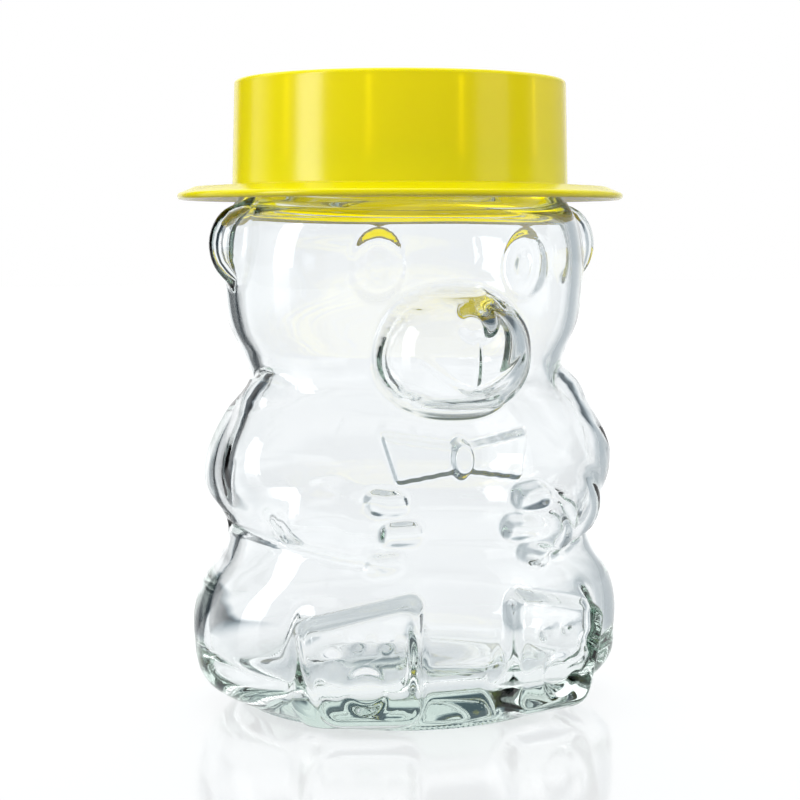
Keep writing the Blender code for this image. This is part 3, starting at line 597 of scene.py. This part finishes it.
def crisp_forms(point, form):
    """Fingers and soles, which only the outside of the glass shows."""
    blend = WALL * CRISP_BLEND_SHARE
    root = at(FINGER_ROOT_PLACE_SHARES, CHEST_RADIUS, FINGER_HEIGHT_SHARE)
    for number, shares in enumerate(FINGER_TIP_PLACE_SHARES):
        rise = (1 - number) * FINGER_PITCH
        tip = at(shares, CHEST_RADIUS, FINGER_HEIGHT_SHARE)
        start = (root[0], root[1], root[2] + rise)
        end = (tip[0], tip[1], tip[2] + rise)
        form = smooth_min(form, round_cone(point, start, end, FINGER_RADIUS, FINGER_RADIUS), blend)
    return smooth_min(form, sole(point), blend)


def march(angle, height, distance):
    """Radius of the outermost place where the distance ends, along level rays to the axis."""
    reach = np.full(np.broadcast(angle, height).shape, MARCH_START)
    across = np.abs(np.cos(angle))
    ahead = np.sin(angle)
    for step in range(MARCH_STEPS):
        reach = reach - MARCH_SHARE * distance((reach * across, reach * ahead, height))
    return reach


def soften(radii):
    """Each radius averaged with its neighbours along its ring and with the rings above and below."""
    along = (np.roll(radii, 1, axis=1) + 2 * radii + np.roll(radii, -1, axis=1)) / 4
    padded = np.concatenate((along[:1], along, along[-1:]))
    return (padded[:-2] + 2 * padded[1:-1] + padded[2:]) / 4


def raised(inside, stand, edge):
    """Height of a raised area whose edge lies where the inside distance is zero."""
    return stand * smooth_step(inside / edge)


def oval(across, up, width, height):
    """Share of the way from the middle of an oval to its edge."""
    return np.sqrt((2 * across / width) ** 2 + (2 * up / height) ** 2)


def bowl(share, depth):
    """Depth of a round dimple, with a soft brim."""
    return depth * smooth_step((1 - share) / BOWL_SLOPE_SHARE)


def relief(radius, angle, height):
    """Raised bow tie, and sunk eyes, nose, mouth, toes and pads, as heights on the outside of the glass."""
    side = np.abs(radius * np.cos(angle))
    ahead = radius * np.sin(angle)
    edge = WALL * EDGE_SHARE
    bow_up = height - BOW_HEIGHT_SHARE * BODY_HEIGHT
    wing_half = BOW_WAIST / 2 + (BOW_HEIGHT - BOW_WAIST) / 2 * side / (BOW_WIDTH / 2)
    wing_end = BOW_WIDTH / 2 - BOW_SLANT_SHARE * (BOW_HEIGHT / 2 - bow_up)
    wing = np.minimum(wing_half - np.abs(bow_up), wing_end - side)
    bow = raised(wing, BOW_STAND, edge)
    knot_out = oval(side, bow_up, KNOT_WIDTH, KNOT_HEIGHT)
    bow = np.maximum(bow, raised((1 - knot_out) * KNOT_WIDTH / 2, KNOT_STAND, edge + edge))
    mouth_low = MOUTH_HEIGHT_SHARE * BODY_HEIGHT
    smile = mouth_low + MOUTH_RISE * (side / (MOUTH_WIDTH / 2)) ** SMILE_POWER
    smile_off = np.maximum(np.abs(height - smile), side - MOUTH_WIDTH / 2)
    lip_off = np.maximum(side, np.abs(height - mouth_low - LIP_LENGTH / 2) - LIP_LENGTH / 2)
    line = MOUTH_LINE / 2 - np.minimum(smile_off, lip_off)
    mouth = raised(line, MOUTH_DEPTH, MOUTH_LINE / 2)
    nose = bowl(oval(side, height - NOSE_HEIGHT_SHARE * BODY_HEIGHT, NOSE_WIDTH, NOSE_HEIGHT), NOSE_DEPTH)
    eye_side = side - EYE_PLACE_SHARE * HEAD_RADIUS
    eye_up = height - EYE_HEIGHT_SHARE * BODY_HEIGHT
    eye = raised((1 - oval(eye_side, eye_up, EYE_WIDTH, EYE_HEIGHT)) * EYE_WIDTH / 2, EYE_DEPTH, EYE_DEPTH)
    pupil_out = oval(eye_side, eye_up, PUPIL_WIDTH, PUPIL_HEIGHT)
    pupil = raised((1 - pupil_out) * PUPIL_WIDTH / 2, PUPIL_STAND, edge)
    front = np.where(ahead < 0, 1.0, 0.0)
    fold_off = np.abs(height - np.interp(side, FOLD_SIDES, FOLD_HEIGHTS))
    fold_run = smooth_step((side - FOLD_SIDES[0]) / FOLD_RUN_OUT)
    fold_run = fold_run * smooth_step((FOLD_SIDES[-1] - side) / FOLD_RUN_OUT)
    fold = FOLD_DEPTH * smooth_step(1 - fold_off / FOLD_HALF) * fold_run
    along, out, up = sole_frame((side, ahead, height))
    on_face = smooth_step((out + PAD_RADIUS) / PAD_RADIUS)
    pads = 0.0
    for width_share, height_share, size_share in TOE_SHARES:
        toe_size = 2 * TOE_RADIUS * size_share
        toe = oval(along - width_share * SOLE_WIDTH, up - height_share * SOLE_HEIGHT, toe_size, toe_size)
        pads = np.maximum(pads, bowl(toe, TOE_DEPTH))
    pad_along = along - PAD_PLACE_SHARES[0] * SOLE_WIDTH
    pad_off = np.sqrt(pad_along ** 2 + (up - PAD_PLACE_SHARES[1] * SOLE_HEIGHT) ** 2)
    pads = np.maximum(pads, raised(PAD_RADIUS - pad_off, PAD_DEPTH, PAD_SLOPE))
    return front * (bow - mouth - fold - np.maximum(nose, eye) + pupil - on_face * pads)


def outer_body(angle, height):
    """Radius of the outside of the glass, from the floor to the closure."""
    blend = WALL * SOFT_BLEND_SHARE
    radius = march(angle, height, lambda point: crisp_forms(point, soft_forms(point, blend)))
    radius = soften(radius + relief(radius, angle, height))
    heel = smooth_step(height / HEEL_BLEND)
    radius = CONTACT_RADIUS * (1 - heel) + radius * heel
    top = smooth_step((height - BODY_HEIGHT + SHOULDER_BLEND) / SHOULDER_BLEND)
    return radius * (1 - top) + SHOULDER_RADIUS * top


def inner_body(angle, height):
    """Radius of the inside of the glass, a wall behind the soft forms, narrowing to the bore."""
    blend = WALL * INNER_BLEND_SHARE
    radius = march(angle, height, lambda point: soft_forms(point, blend) + WALL)
    top = smooth_step((height - BODY_HEIGHT + INNER_SHOULDER) / INNER_SHOULDER)
    radius = radius * (1 - top) + BORE_RADIUS * top
    return np.minimum(radius, outer_body(angle, height) - LEAST_WALL)


def thread(angle, height):
    """How far the four thread starts stand out of the neck."""
    pitch_angle = 2 * math.pi / THREAD_STARTS
    turned = np.mod(angle + THREAD_BEFORE_LUG, pitch_angle)
    middle = THREAD_HEIGHT + THREAD_LEAD * (turned - THREAD_BEFORE_LUG) / (2 * math.pi)
    flank = smooth_step((THREAD_HALF + THREAD_FLANK - np.abs(height - middle)) / THREAD_FLANK)
    run_in = THREAD_ARC * THREAD_RUN_SHARE
    ends = smooth_step(turned / run_in) * smooth_step((THREAD_ARC - turned) / run_in)
    return THREAD_STAND * flank * ends


def arc(centre, radius, start, end, steps=4):
    """Points of a round corner, from the start angle to the end angle, in degrees."""
    angles = [start + (end - start) * step / steps for step in range(steps + 1)]
    points = []
    for angle in angles:
        turn = math.radians(angle)
        points.append((centre[0] + radius * math.cos(turn), centre[1] + radius * math.sin(turn)))
    return points


def spun(outline, steps, closed=False):
    """A net turned round the Z axis from radii and heights, in which each vertex knows its ring."""
    net = bmesh.new()
    ring_layer = net.verts.layers.int.new("ring")
    profile = []
    for number, (radius, height) in enumerate(outline):
        vertex = net.verts.new((np.mean(radius), 0, height))
        vertex[ring_layer] = number
        profile.append(vertex)
    edges = [net.edges.new(pair) for pair in zip(profile, profile[1:])]
    if closed:
        edges.append(net.edges.new((profile[-1], profile[0])))
    bmesh.ops.spin(net, geom=profile + edges, axis=(0, 0, 1), cent=(0, 0, 0), angle=2 * math.pi,
                   steps=steps, use_merge=True)
    bmesh.ops.remove_doubles(net, verts=net.verts, dist=TINY)
    bmesh.ops.recalc_face_normals(net, faces=net.faces)
    return net


def finished(name, net, body, node, surface, crease=180):
    """The net as a piece that rides a body, stands for a node of the frame and wears one surface."""
    mesh = bpy.data.meshes.new(name)
    net.to_mesh(mesh)
    net.free()
    mesh.shade_smooth()
    if crease < 180:
        mesh.set_sharp_from_angle(angle=math.radians(crease))
    mesh.materials.append(surface)
    piece = bpy.data.objects.new(name, mesh)
    bpy.context.scene.collection.objects.link(piece)
    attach(piece, body)
    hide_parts(node)


# Rings of the glass, as heights and the step between rings there: closer together over the soles, hands,
# muzzle and eyes. The vertices of a ring crowd together towards the front by the share of FRONT_CROWDING.
RING_ZONES = ((0.0000, 0.00055), (0.0025, 0.00045), (0.0290, 0.00060), (0.0330, 0.00046), (0.0630, 0.00046),
              (0.0980, 0.00070), (BODY_HEIGHT, 0.00070))
LAST_RING_GAP = 0.0004
JAR_STEPS = 340
FRONT_CROWDING = 0.55
FINISH_RINGS = 30
INNER_RINGS = 56
INNER_CORNER_RINGS = 8
PUSH_UP_SHARES = (0.0, 0.15, 0.3, 0.45, 0.6, 0.75, 0.85, 0.93)
INNER_PUSH_UP_SHARES = (0.8, 0.6, 0.4, 0.2, 0.0)

body_heights = []
height = 0.0
while height < BODY_HEIGHT - LAST_RING_GAP:
    height += np.interp(height, [zone[0] for zone in RING_ZONES], [zone[1] for zone in RING_ZONES])
    body_heights.append(height)
body_heights = np.array(body_heights) * BODY_HEIGHT / body_heights[-1]
turns = np.arange(JAR_STEPS) * 2 * math.pi / JAR_STEPS
jar_angles = turns + FRONT_CROWDING * np.sin(turns - math.pi / 2)
rings = []
contact_inner = CONTACT_RADIUS - CONTACT_WIDTH
for share in PUSH_UP_SHARES:
    rings.append((share * contact_inner, PUSH_UP * (1 - share ** 3) + CONTACT_ROUND * share))
rings.append((contact_inner, 0.0))
rings.append((CONTACT_RADIUS, 0.0))
rings.extend(zip(outer_body(jar_angles, body_heights[:, None]), body_heights))
rings.extend(arc((SHOULDER_RADIUS - BEAD_STAND, BODY_HEIGHT + BEAD_HEIGHT / 2), BEAD_STAND * 2, -60, 60))
neck_floor = BODY_HEIGHT + BEAD_HEIGHT + NECK_FILLET
rings.extend(reversed(arc((NECK_RADIUS + NECK_FILLET, neck_floor), NECK_FILLET, 180, 270)))
rim_floor = JAR_HEIGHT - RIM_ROUND
for step in range(1, FINISH_RINGS):
    height = neck_floor + (rim_floor - neck_floor) * step / FINISH_RINGS
    rings.append((NECK_RADIUS + thread(jar_angles, height), height))
rings.extend(arc((NECK_RADIUS - RIM_ROUND, rim_floor), RIM_ROUND, 0, 90))
rings.extend(arc((BORE_RADIUS + RIM_ROUND, rim_floor), RIM_ROUND, 90, 180))
rings.append((BORE_RADIUS, (JAR_HEIGHT + BODY_HEIGHT) / 2))
inner_floor = BASE_THICKNESS + INNER_CORNER
inner_heights = np.linspace(BODY_HEIGHT, inner_floor, INNER_RINGS)
inner = inner_body(jar_angles, inner_heights[:, None])
rings.extend(zip(inner, inner_heights))
for step in range(1, INNER_CORNER_RINGS + 1):
    turn = math.pi / 2 * step / INNER_CORNER_RINGS
    height = BASE_THICKNESS + INNER_CORNER * (1 - math.sin(turn))
    rings.append((inner[-1] - INNER_CORNER * (1 - math.cos(turn)), height))
for share in INNER_PUSH_UP_SHARES:
    rings.append((share * (inner[-1] - INNER_CORNER), BASE_THICKNESS + PUSH_UP * (1 - share ** 2)))

net = spun(rings, JAR_STEPS)
ring_layer = net.verts.layers.int["ring"]
radii = np.array([np.broadcast_to(radius, jar_angles.shape) for radius, height in rings])
for vertex in net.verts:
    number = vertex[ring_layer]
    step = round(math.atan2(vertex.co.y, vertex.co.x) / (2 * math.pi) * JAR_STEPS) % JAR_STEPS
    radius = radii[number, step]
    vertex.co = (radius * math.cos(jar_angles[step]), radius * math.sin(jar_angles[step]), rings[number][1])

# The finish: clear, faintly green in thick places, with a slight swell and a knurled contact ring
KNURLS = 96
KNURL_TOPS = (0.0004, 0.0010)
RIPPLE = 0.35
GREEN_OF_GLASS = (0.70, 0.81, 0.75, 1)
GREEN_DEPTH = 20.0

soda_lime = bpy.data.materials.new("clear_glass")
soda_lime.use_nodes = True
glass = Finish(soda_lime.node_tree)
shader = soda_lime.node_tree.nodes["Principled BSDF"]
place = glass.node("ShaderNodeTexCoord", output="Object")
east, north, up = glass.parts(place)
swell = glass.node("ShaderNodeTexNoise", {}, {"Vector": place, "Scale": 55.0, "Detail": 1.0})
turn = glass.node("ShaderNodeMath", {"operation": "ARCTAN2"}, [north, east])
out = (east * east + north * north) ** 0.5
foot = 1 - up.over(*KNURL_TOPS)
foot = foot * out.over(CONTACT_RADIUS - CONTACT_WIDTH, CONTACT_RADIUS - CONTACT_WIDTH / 2)
knurls = (turn * KNURLS).wave().absolute() * foot
relief_of_skin = swell * RIPPLE + knurls
skin = glass.node("ShaderNodeBump", {}, {"Strength": 0.5, "Distance": 0.0003, "Height": relief_of_skin})
for name, value in {"Base Color": (1.0, 1.0, 1.0), "Roughness": 0.0, "IOR": 1.52,
                    "Transmission Weight": 1.0, "Normal": skin}.items():
    glass.join(shader.inputs[name], value)
depth = glass.tree.nodes.new("ShaderNodeVolumeAbsorption")
depth.inputs["Color"].default_value = GREEN_OF_GLASS
depth.inputs["Density"].default_value = GREEN_DEPTH
end = soda_lime.node_tree.nodes["Material Output"]
glass.tree.links.new(depth.outputs[0], end.inputs["Volume"])
finished("bear_glass", net, "jar", "glass_jar", soda_lime)


# --------------------------------------------------------------------------------------------------
# The sealing ring. Plastisol flowed into the channel of the cap and baked there: a soft off-white band with a
# slightly domed underside, in which the rim of the glass has pressed a faint groove.
SEAL_GAP = 0.0003
SEAL_FLOOR = JAR_HEIGHT + SEAL_GAP
SEAL_INNER = 0.02615
SEAL_OUTER = 0.02995
SEAL_THICKNESS = 0.0007
SEAL_ROUND = 0.0002
SEAL_GROOVE = 0.00008
SEAL_GROOVE_STEPS = 12
SEAL_STEPS = 128

outline = []
for corner, start in (((SEAL_OUTER - SEAL_ROUND, SEAL_FLOOR + SEAL_ROUND), 0),
                      ((SEAL_OUTER - SEAL_ROUND, SEAL_FLOOR + SEAL_THICKNESS - SEAL_ROUND), 90),
                      ((SEAL_INNER + SEAL_ROUND, SEAL_FLOOR + SEAL_THICKNESS - SEAL_ROUND), 180),
                      ((SEAL_INNER + SEAL_ROUND, SEAL_FLOOR + SEAL_ROUND), 270)):
    outline.extend(arc(corner, SEAL_ROUND, start - 90, start))
for step in range(1, SEAL_GROOVE_STEPS):
    share = step / SEAL_GROOVE_STEPS
    radius = SEAL_INNER + SEAL_ROUND + (SEAL_OUTER - SEAL_INNER - 2 * SEAL_ROUND) * share
    outline.append((radius, SEAL_FLOOR + SEAL_GROOVE * math.sin(math.pi * share) ** 2))
net = spun(outline, SEAL_STEPS, closed=True)
plastisol = bpy.data.materials.new("plastisol")
plastisol.use_nodes = True
rubber = Finish(plastisol.node_tree)
shader = plastisol.node_tree.nodes["Principled BSDF"]
place = rubber.node("ShaderNodeTexCoord", output="Object")
clouds = rubber.node("ShaderNodeTexNoise", {}, {"Vector": place, "Scale": 900.0, "Detail": 4.0})
patches = rubber.node("ShaderNodeTexNoise", {}, {"Vector": place, "Scale": 160.0, "Detail": 2.0})
tint = rubber.node("ShaderNodeMix", {"data_type": "RGBA"},
                   {"Factor": patches, 6: (0.80, 0.78, 0.71), 7: (0.86, 0.84, 0.78)}, output=2)
dimple = rubber.node("ShaderNodeBump", {}, {"Strength": 0.3, "Distance": 0.00005, "Height": clouds})
for name, value in {"Base Color": tint, "Roughness": 0.42 + clouds * 0.2, "Normal": dimple,
                    "Subsurface Weight": 0.1, "Subsurface Radius": (0.001, 0.001, 0.0008)}.items():
    rubber.join(shader.inputs[name], value)
finished("sealing_ring_band", net, "seal", "sealing_ring", plastisol, 50)


# --------------------------------------------------------------------------------------------------
# The lug cap. Drawn and curled tinplate, lacquered yellow: a channel round a sunk panel with a safety button,
# a skirt, a rolled curl at its foot, and four lugs pressed inwards out of the curl.
CAP_TOP = 0.12655
CAP_DEPTH = 0.0125
CAP_INNER = 0.0317
TIN = 0.00025
CURL = 0.0006
CAP_CORNER = 0.0012
CAP_STEPS = 256
PANEL_EDGE = 0.0252
PANEL_DROP = 0.0006
BUTTON = 0.0080
# Points across the button and up the channel's inner side: radius past the edge named, height above the panel
BUTTON_POINTS = ((0.0, 0.00025), (0.0006, 0.00005), (0.0012, 0.0))
BUTTON_RISE = 0.0004
BUTTON_SHOULDER = 0.00036
PANEL_POINTS = ((-0.0013, 0.0), (-0.0008, 0.00008), (-0.0003, PANEL_DROP - 0.00010), (0.0002, PANEL_DROP))
LUGS = 4
LUG_LONG = 0.0024
LUG_WIDE = 0.0070
LUG_THICK = 0.0006
LUG_BEVEL = 0.0002

cap_bottom = CAP_TOP - CAP_DEPTH
panel = CAP_TOP - PANEL_DROP
outer_side = [(0.0, panel + BUTTON_RISE), (BUTTON * 0.5, panel + BUTTON_RISE)]
outer_side += [(BUTTON * 0.85, panel + BUTTON_SHOULDER)]
outer_side += [(BUTTON + past, panel + rise) for past, rise in BUTTON_POINTS]
outer_side += [(PANEL_EDGE * 0.7, panel)]
outer_side += [(PANEL_EDGE + past, panel + rise) for past, rise in PANEL_POINTS]
corner = (CAP_INNER + TIN - CAP_CORNER, CAP_TOP - CAP_CORNER)
outer_side += arc(corner, CAP_CORNER, 90, 0, 8)
skirt_foot = cap_bottom + 2 * CURL + TIN
outer_side += [(CAP_INNER + TIN, skirt_foot)]
inner_side = [(CAP_INNER, cap_bottom + 2 * CURL)]
inner_side += arc(corner, CAP_CORNER - TIN, 0, 90, 8)
inner_side += [(radius, height - TIN) for radius, height in reversed(outer_side[:11])]
curl_middle = (CAP_INNER + CURL, cap_bottom + CURL)
net = spun(outer_side + arc(curl_middle, CURL, 80, -180, 20) + inner_side, CAP_STEPS)
for number in range(LUGS):
    turn = Matrix.Rotation(2 * math.pi * number / LUGS, 4, "Z")
    slope = Matrix.Rotation(math.atan2(THREAD_LEAD, 2 * math.pi * CAP_INNER), 4, "X")
    place = Matrix.Translation((CAP_INNER + CURL - LUG_LONG / 2, 0, cap_bottom + CURL))
    size = Matrix.Diagonal((LUG_LONG, LUG_WIDE, LUG_THICK, 1))
    lug = bmesh.ops.create_cube(net, size=1, matrix=turn @ place @ slope @ size)
    lug_edges = {edge for vertex in lug["verts"] for edge in vertex.link_edges}
    bmesh.ops.bevel(net, geom=list(lug_edges), offset=LUG_BEVEL, segments=3, affect="EDGES", profile=0.5,
                    material=-1)
tinplate = bpy.data.materials.new("yellow_lacquered_steel")
tinplate.use_nodes = True
tin = Finish(tinplate.node_tree)
shader = tinplate.node_tree.nodes["Principled BSDF"]
place = tin.node("ShaderNodeTexCoord", output="Object")
peel = tin.node("ShaderNodeTexNoise", {}, {"Vector": place, "Scale": 700.0, "Detail": 3.0})
streaks = tin.node("ShaderNodeTexNoise", {}, {"Vector": place, "Scale": 90.0, "Detail": 3.0})
# The lacquer also shines by itself, which stands in for the light that the hat lets through to the cap
CAP_GLOW = (0.44, 0.37, 0.0)
tint = tin.node("ShaderNodeMix", {"data_type": "RGBA"},
                {"Factor": streaks, 6: (0.38, 0.33, 0.0), 7: (0.42, 0.37, 0.003)}, output=2)
skin = tin.node("ShaderNodeBump", {}, {"Strength": 0.15, "Distance": 0.00002, "Height": peel})
for name, value in {"Base Color": tint, "Roughness": 0.24 + streaks * 0.12, "Normal": skin,
                    "Emission Color": CAP_GLOW, "Emission Strength": 1.0,
                    "Coat Weight": 0.3, "Coat Roughness": 0.08}.items():
    tin.join(shader.inputs[name], value)
finished("lug_cap", net, "cap", "twist_off_cap", tinplate, 40)


# --------------------------------------------------------------------------------------------------
# The hat. Injection-moulded yellow plastic, with a round crown, a thin brim that droops a little at its
# edge, and ribs inside that grip the curl of the cap. A faint gate mark stays in the middle of its crown.
HAT_TOP = 0.12815
HAT_INNER = 0.0336
HAT_OUTER = 0.0347
CROWN_TOP = 0.0342
CROWN_ROUND = 0.0009
CROWN_THICK = 0.0013
BRIM_RADIUS = 0.0460
BRIM_DROP = 0.0014
BRIM_EDGE_DROP = 0.0014
BRIM_FLOOR = BODY_HEIGHT - BRIM_DROP
BRIM_THICK = 0.0015
BRIM_DROOP = 0.0005
BRIM_SHARES = (0.25, 0.5, 0.75)
BRIM_FILLET = 0.0004
BRIM_INNER_ROUND = 0.0003
CROWN_FILLET = 0.0005
HAT_STEPS = 384
RIBS = 12
RIB_SIZE = (0.0007, 0.0010, 0.0151)
RIB_MIDDLE = 0.11930
RIB_OFFSET = 0.00005
RIB_BEVEL = 0.00015
GATE = 0.0012
GATE_DEPTH = 0.00012

inner_top = HAT_TOP - CROWN_THICK
brim_top = BRIM_FLOOR + BRIM_THICK
brim_edge = (BRIM_RADIUS - BRIM_THICK / 2, BRIM_FLOOR + BRIM_THICK / 2 - BRIM_EDGE_DROP)
outline = [(0.0, HAT_TOP - GATE_DEPTH), (GATE * 0.8, HAT_TOP - GATE_DEPTH)]
outline += [(GATE, HAT_TOP), (GATE * 1.2, HAT_TOP)]
outline += [(CROWN_TOP * 0.5, HAT_TOP), (CROWN_TOP - CROWN_ROUND * 1.3, HAT_TOP)]
outline += arc((CROWN_TOP - CROWN_ROUND, HAT_TOP - CROWN_ROUND), CROWN_ROUND, 90, 1, 10)
outline += arc((HAT_OUTER + BRIM_FILLET, brim_top + BRIM_FILLET), BRIM_FILLET, 180, 265, 5)
outline += [(HAT_OUTER + (brim_edge[0] - HAT_OUTER) * share, brim_top - BRIM_DROOP * share ** 2)
            for share in BRIM_SHARES]
outline += arc(brim_edge, BRIM_THICK / 2, 90, -90, 10)
outline += [(HAT_INNER + (brim_edge[0] - HAT_INNER) * share, BRIM_FLOOR - BRIM_DROOP * share ** 2)
            for share in reversed(BRIM_SHARES)]
inner_foot = (HAT_INNER + BRIM_INNER_ROUND, BRIM_FLOOR + BRIM_INNER_ROUND)
outline += arc(inner_foot, BRIM_INNER_ROUND, 270, 180, 4)
outline += [(HAT_INNER, (BRIM_FLOOR + inner_top) / 2)]
outline += arc((HAT_INNER - CROWN_FILLET, inner_top - CROWN_FILLET), CROWN_FILLET, 0, 90, 4)
outline += [(HAT_INNER * 0.5, inner_top), (0.0, inner_top)]
net = spun(outline, HAT_STEPS)
for number in range(RIBS):
    turn = Matrix.Rotation(2 * math.pi * number / RIBS, 4, "Z")
    place = Matrix.Translation((HAT_INNER - RIB_OFFSET, 0, RIB_MIDDLE))
    rib = bmesh.ops.create_cube(net, size=1, matrix=turn @ place @ Matrix.Diagonal((*RIB_SIZE, 1)))
    rib_edges = {edge for vertex in rib["verts"] for edge in vertex.link_edges}
    bmesh.ops.bevel(net, geom=list(rib_edges), offset=RIB_BEVEL, segments=2, affect="EDGES", profile=0.5,
                    material=-1)
yellow = bpy.data.materials.new("yellow_plastic")
yellow.use_nodes = True
plastic = Finish(yellow.node_tree)
shader = yellow.node_tree.nodes["Principled BSDF"]
place = plastic.node("ShaderNodeTexCoord", output="Object")
flow = plastic.node("ShaderNodeTexNoise", {}, {"Vector": place, "Scale": 60.0, "Detail": 3.0})
grain = plastic.node("ShaderNodeTexNoise", {}, {"Vector": place, "Scale": 2500.0, "Detail": 2.0})
tint = plastic.node("ShaderNodeMix", {"data_type": "RGBA"},
                    {"Factor": flow, 6: (0.69, 0.62, 0.0), 7: (0.74, 0.67, 0.0)}, output=2)
relief_of_wall = flow + grain * 0.01
wave = plastic.node("ShaderNodeBump", {}, {"Strength": 0.12, "Distance": 0.0002, "Height": relief_of_wall})
# The thin wall lets the studio's light through, and a glow of the hat's inside stands in for that
INSIDE_GLOW = (0.80, 0.70)
INSIDE_EDGE = (HAT_INNER + 0.0001, HAT_INNER + 0.0004)
INSIDE_TOP = (inner_top + 0.0002, inner_top + 0.0006)
east, north, up = plastic.parts(place)
inside = 1 - ((east * east + north * north) ** 0.5).over(*INSIDE_EDGE)
inside = inside * (1 - up.over(*INSIDE_TOP))
glow = plastic.node("ShaderNodeCombineXYZ", {}, [inside * INSIDE_GLOW[0], inside * INSIDE_GLOW[1], 0.0])
for name, value in {"Base Color": tint, "Roughness": 0.15 + grain * 0.06, "Normal": wave,
                    "Emission Color": glow, "Emission Strength": 1.0, "Subsurface Weight": 0.6,
                    "Subsurface Radius": (1.0, 0.9, 0.1), "Subsurface Scale": 0.002}.items():
    plastic.join(shader.inputs[name], value)
finished("yellow_hat", net, "hat", "hat_cover", yellow, 40)
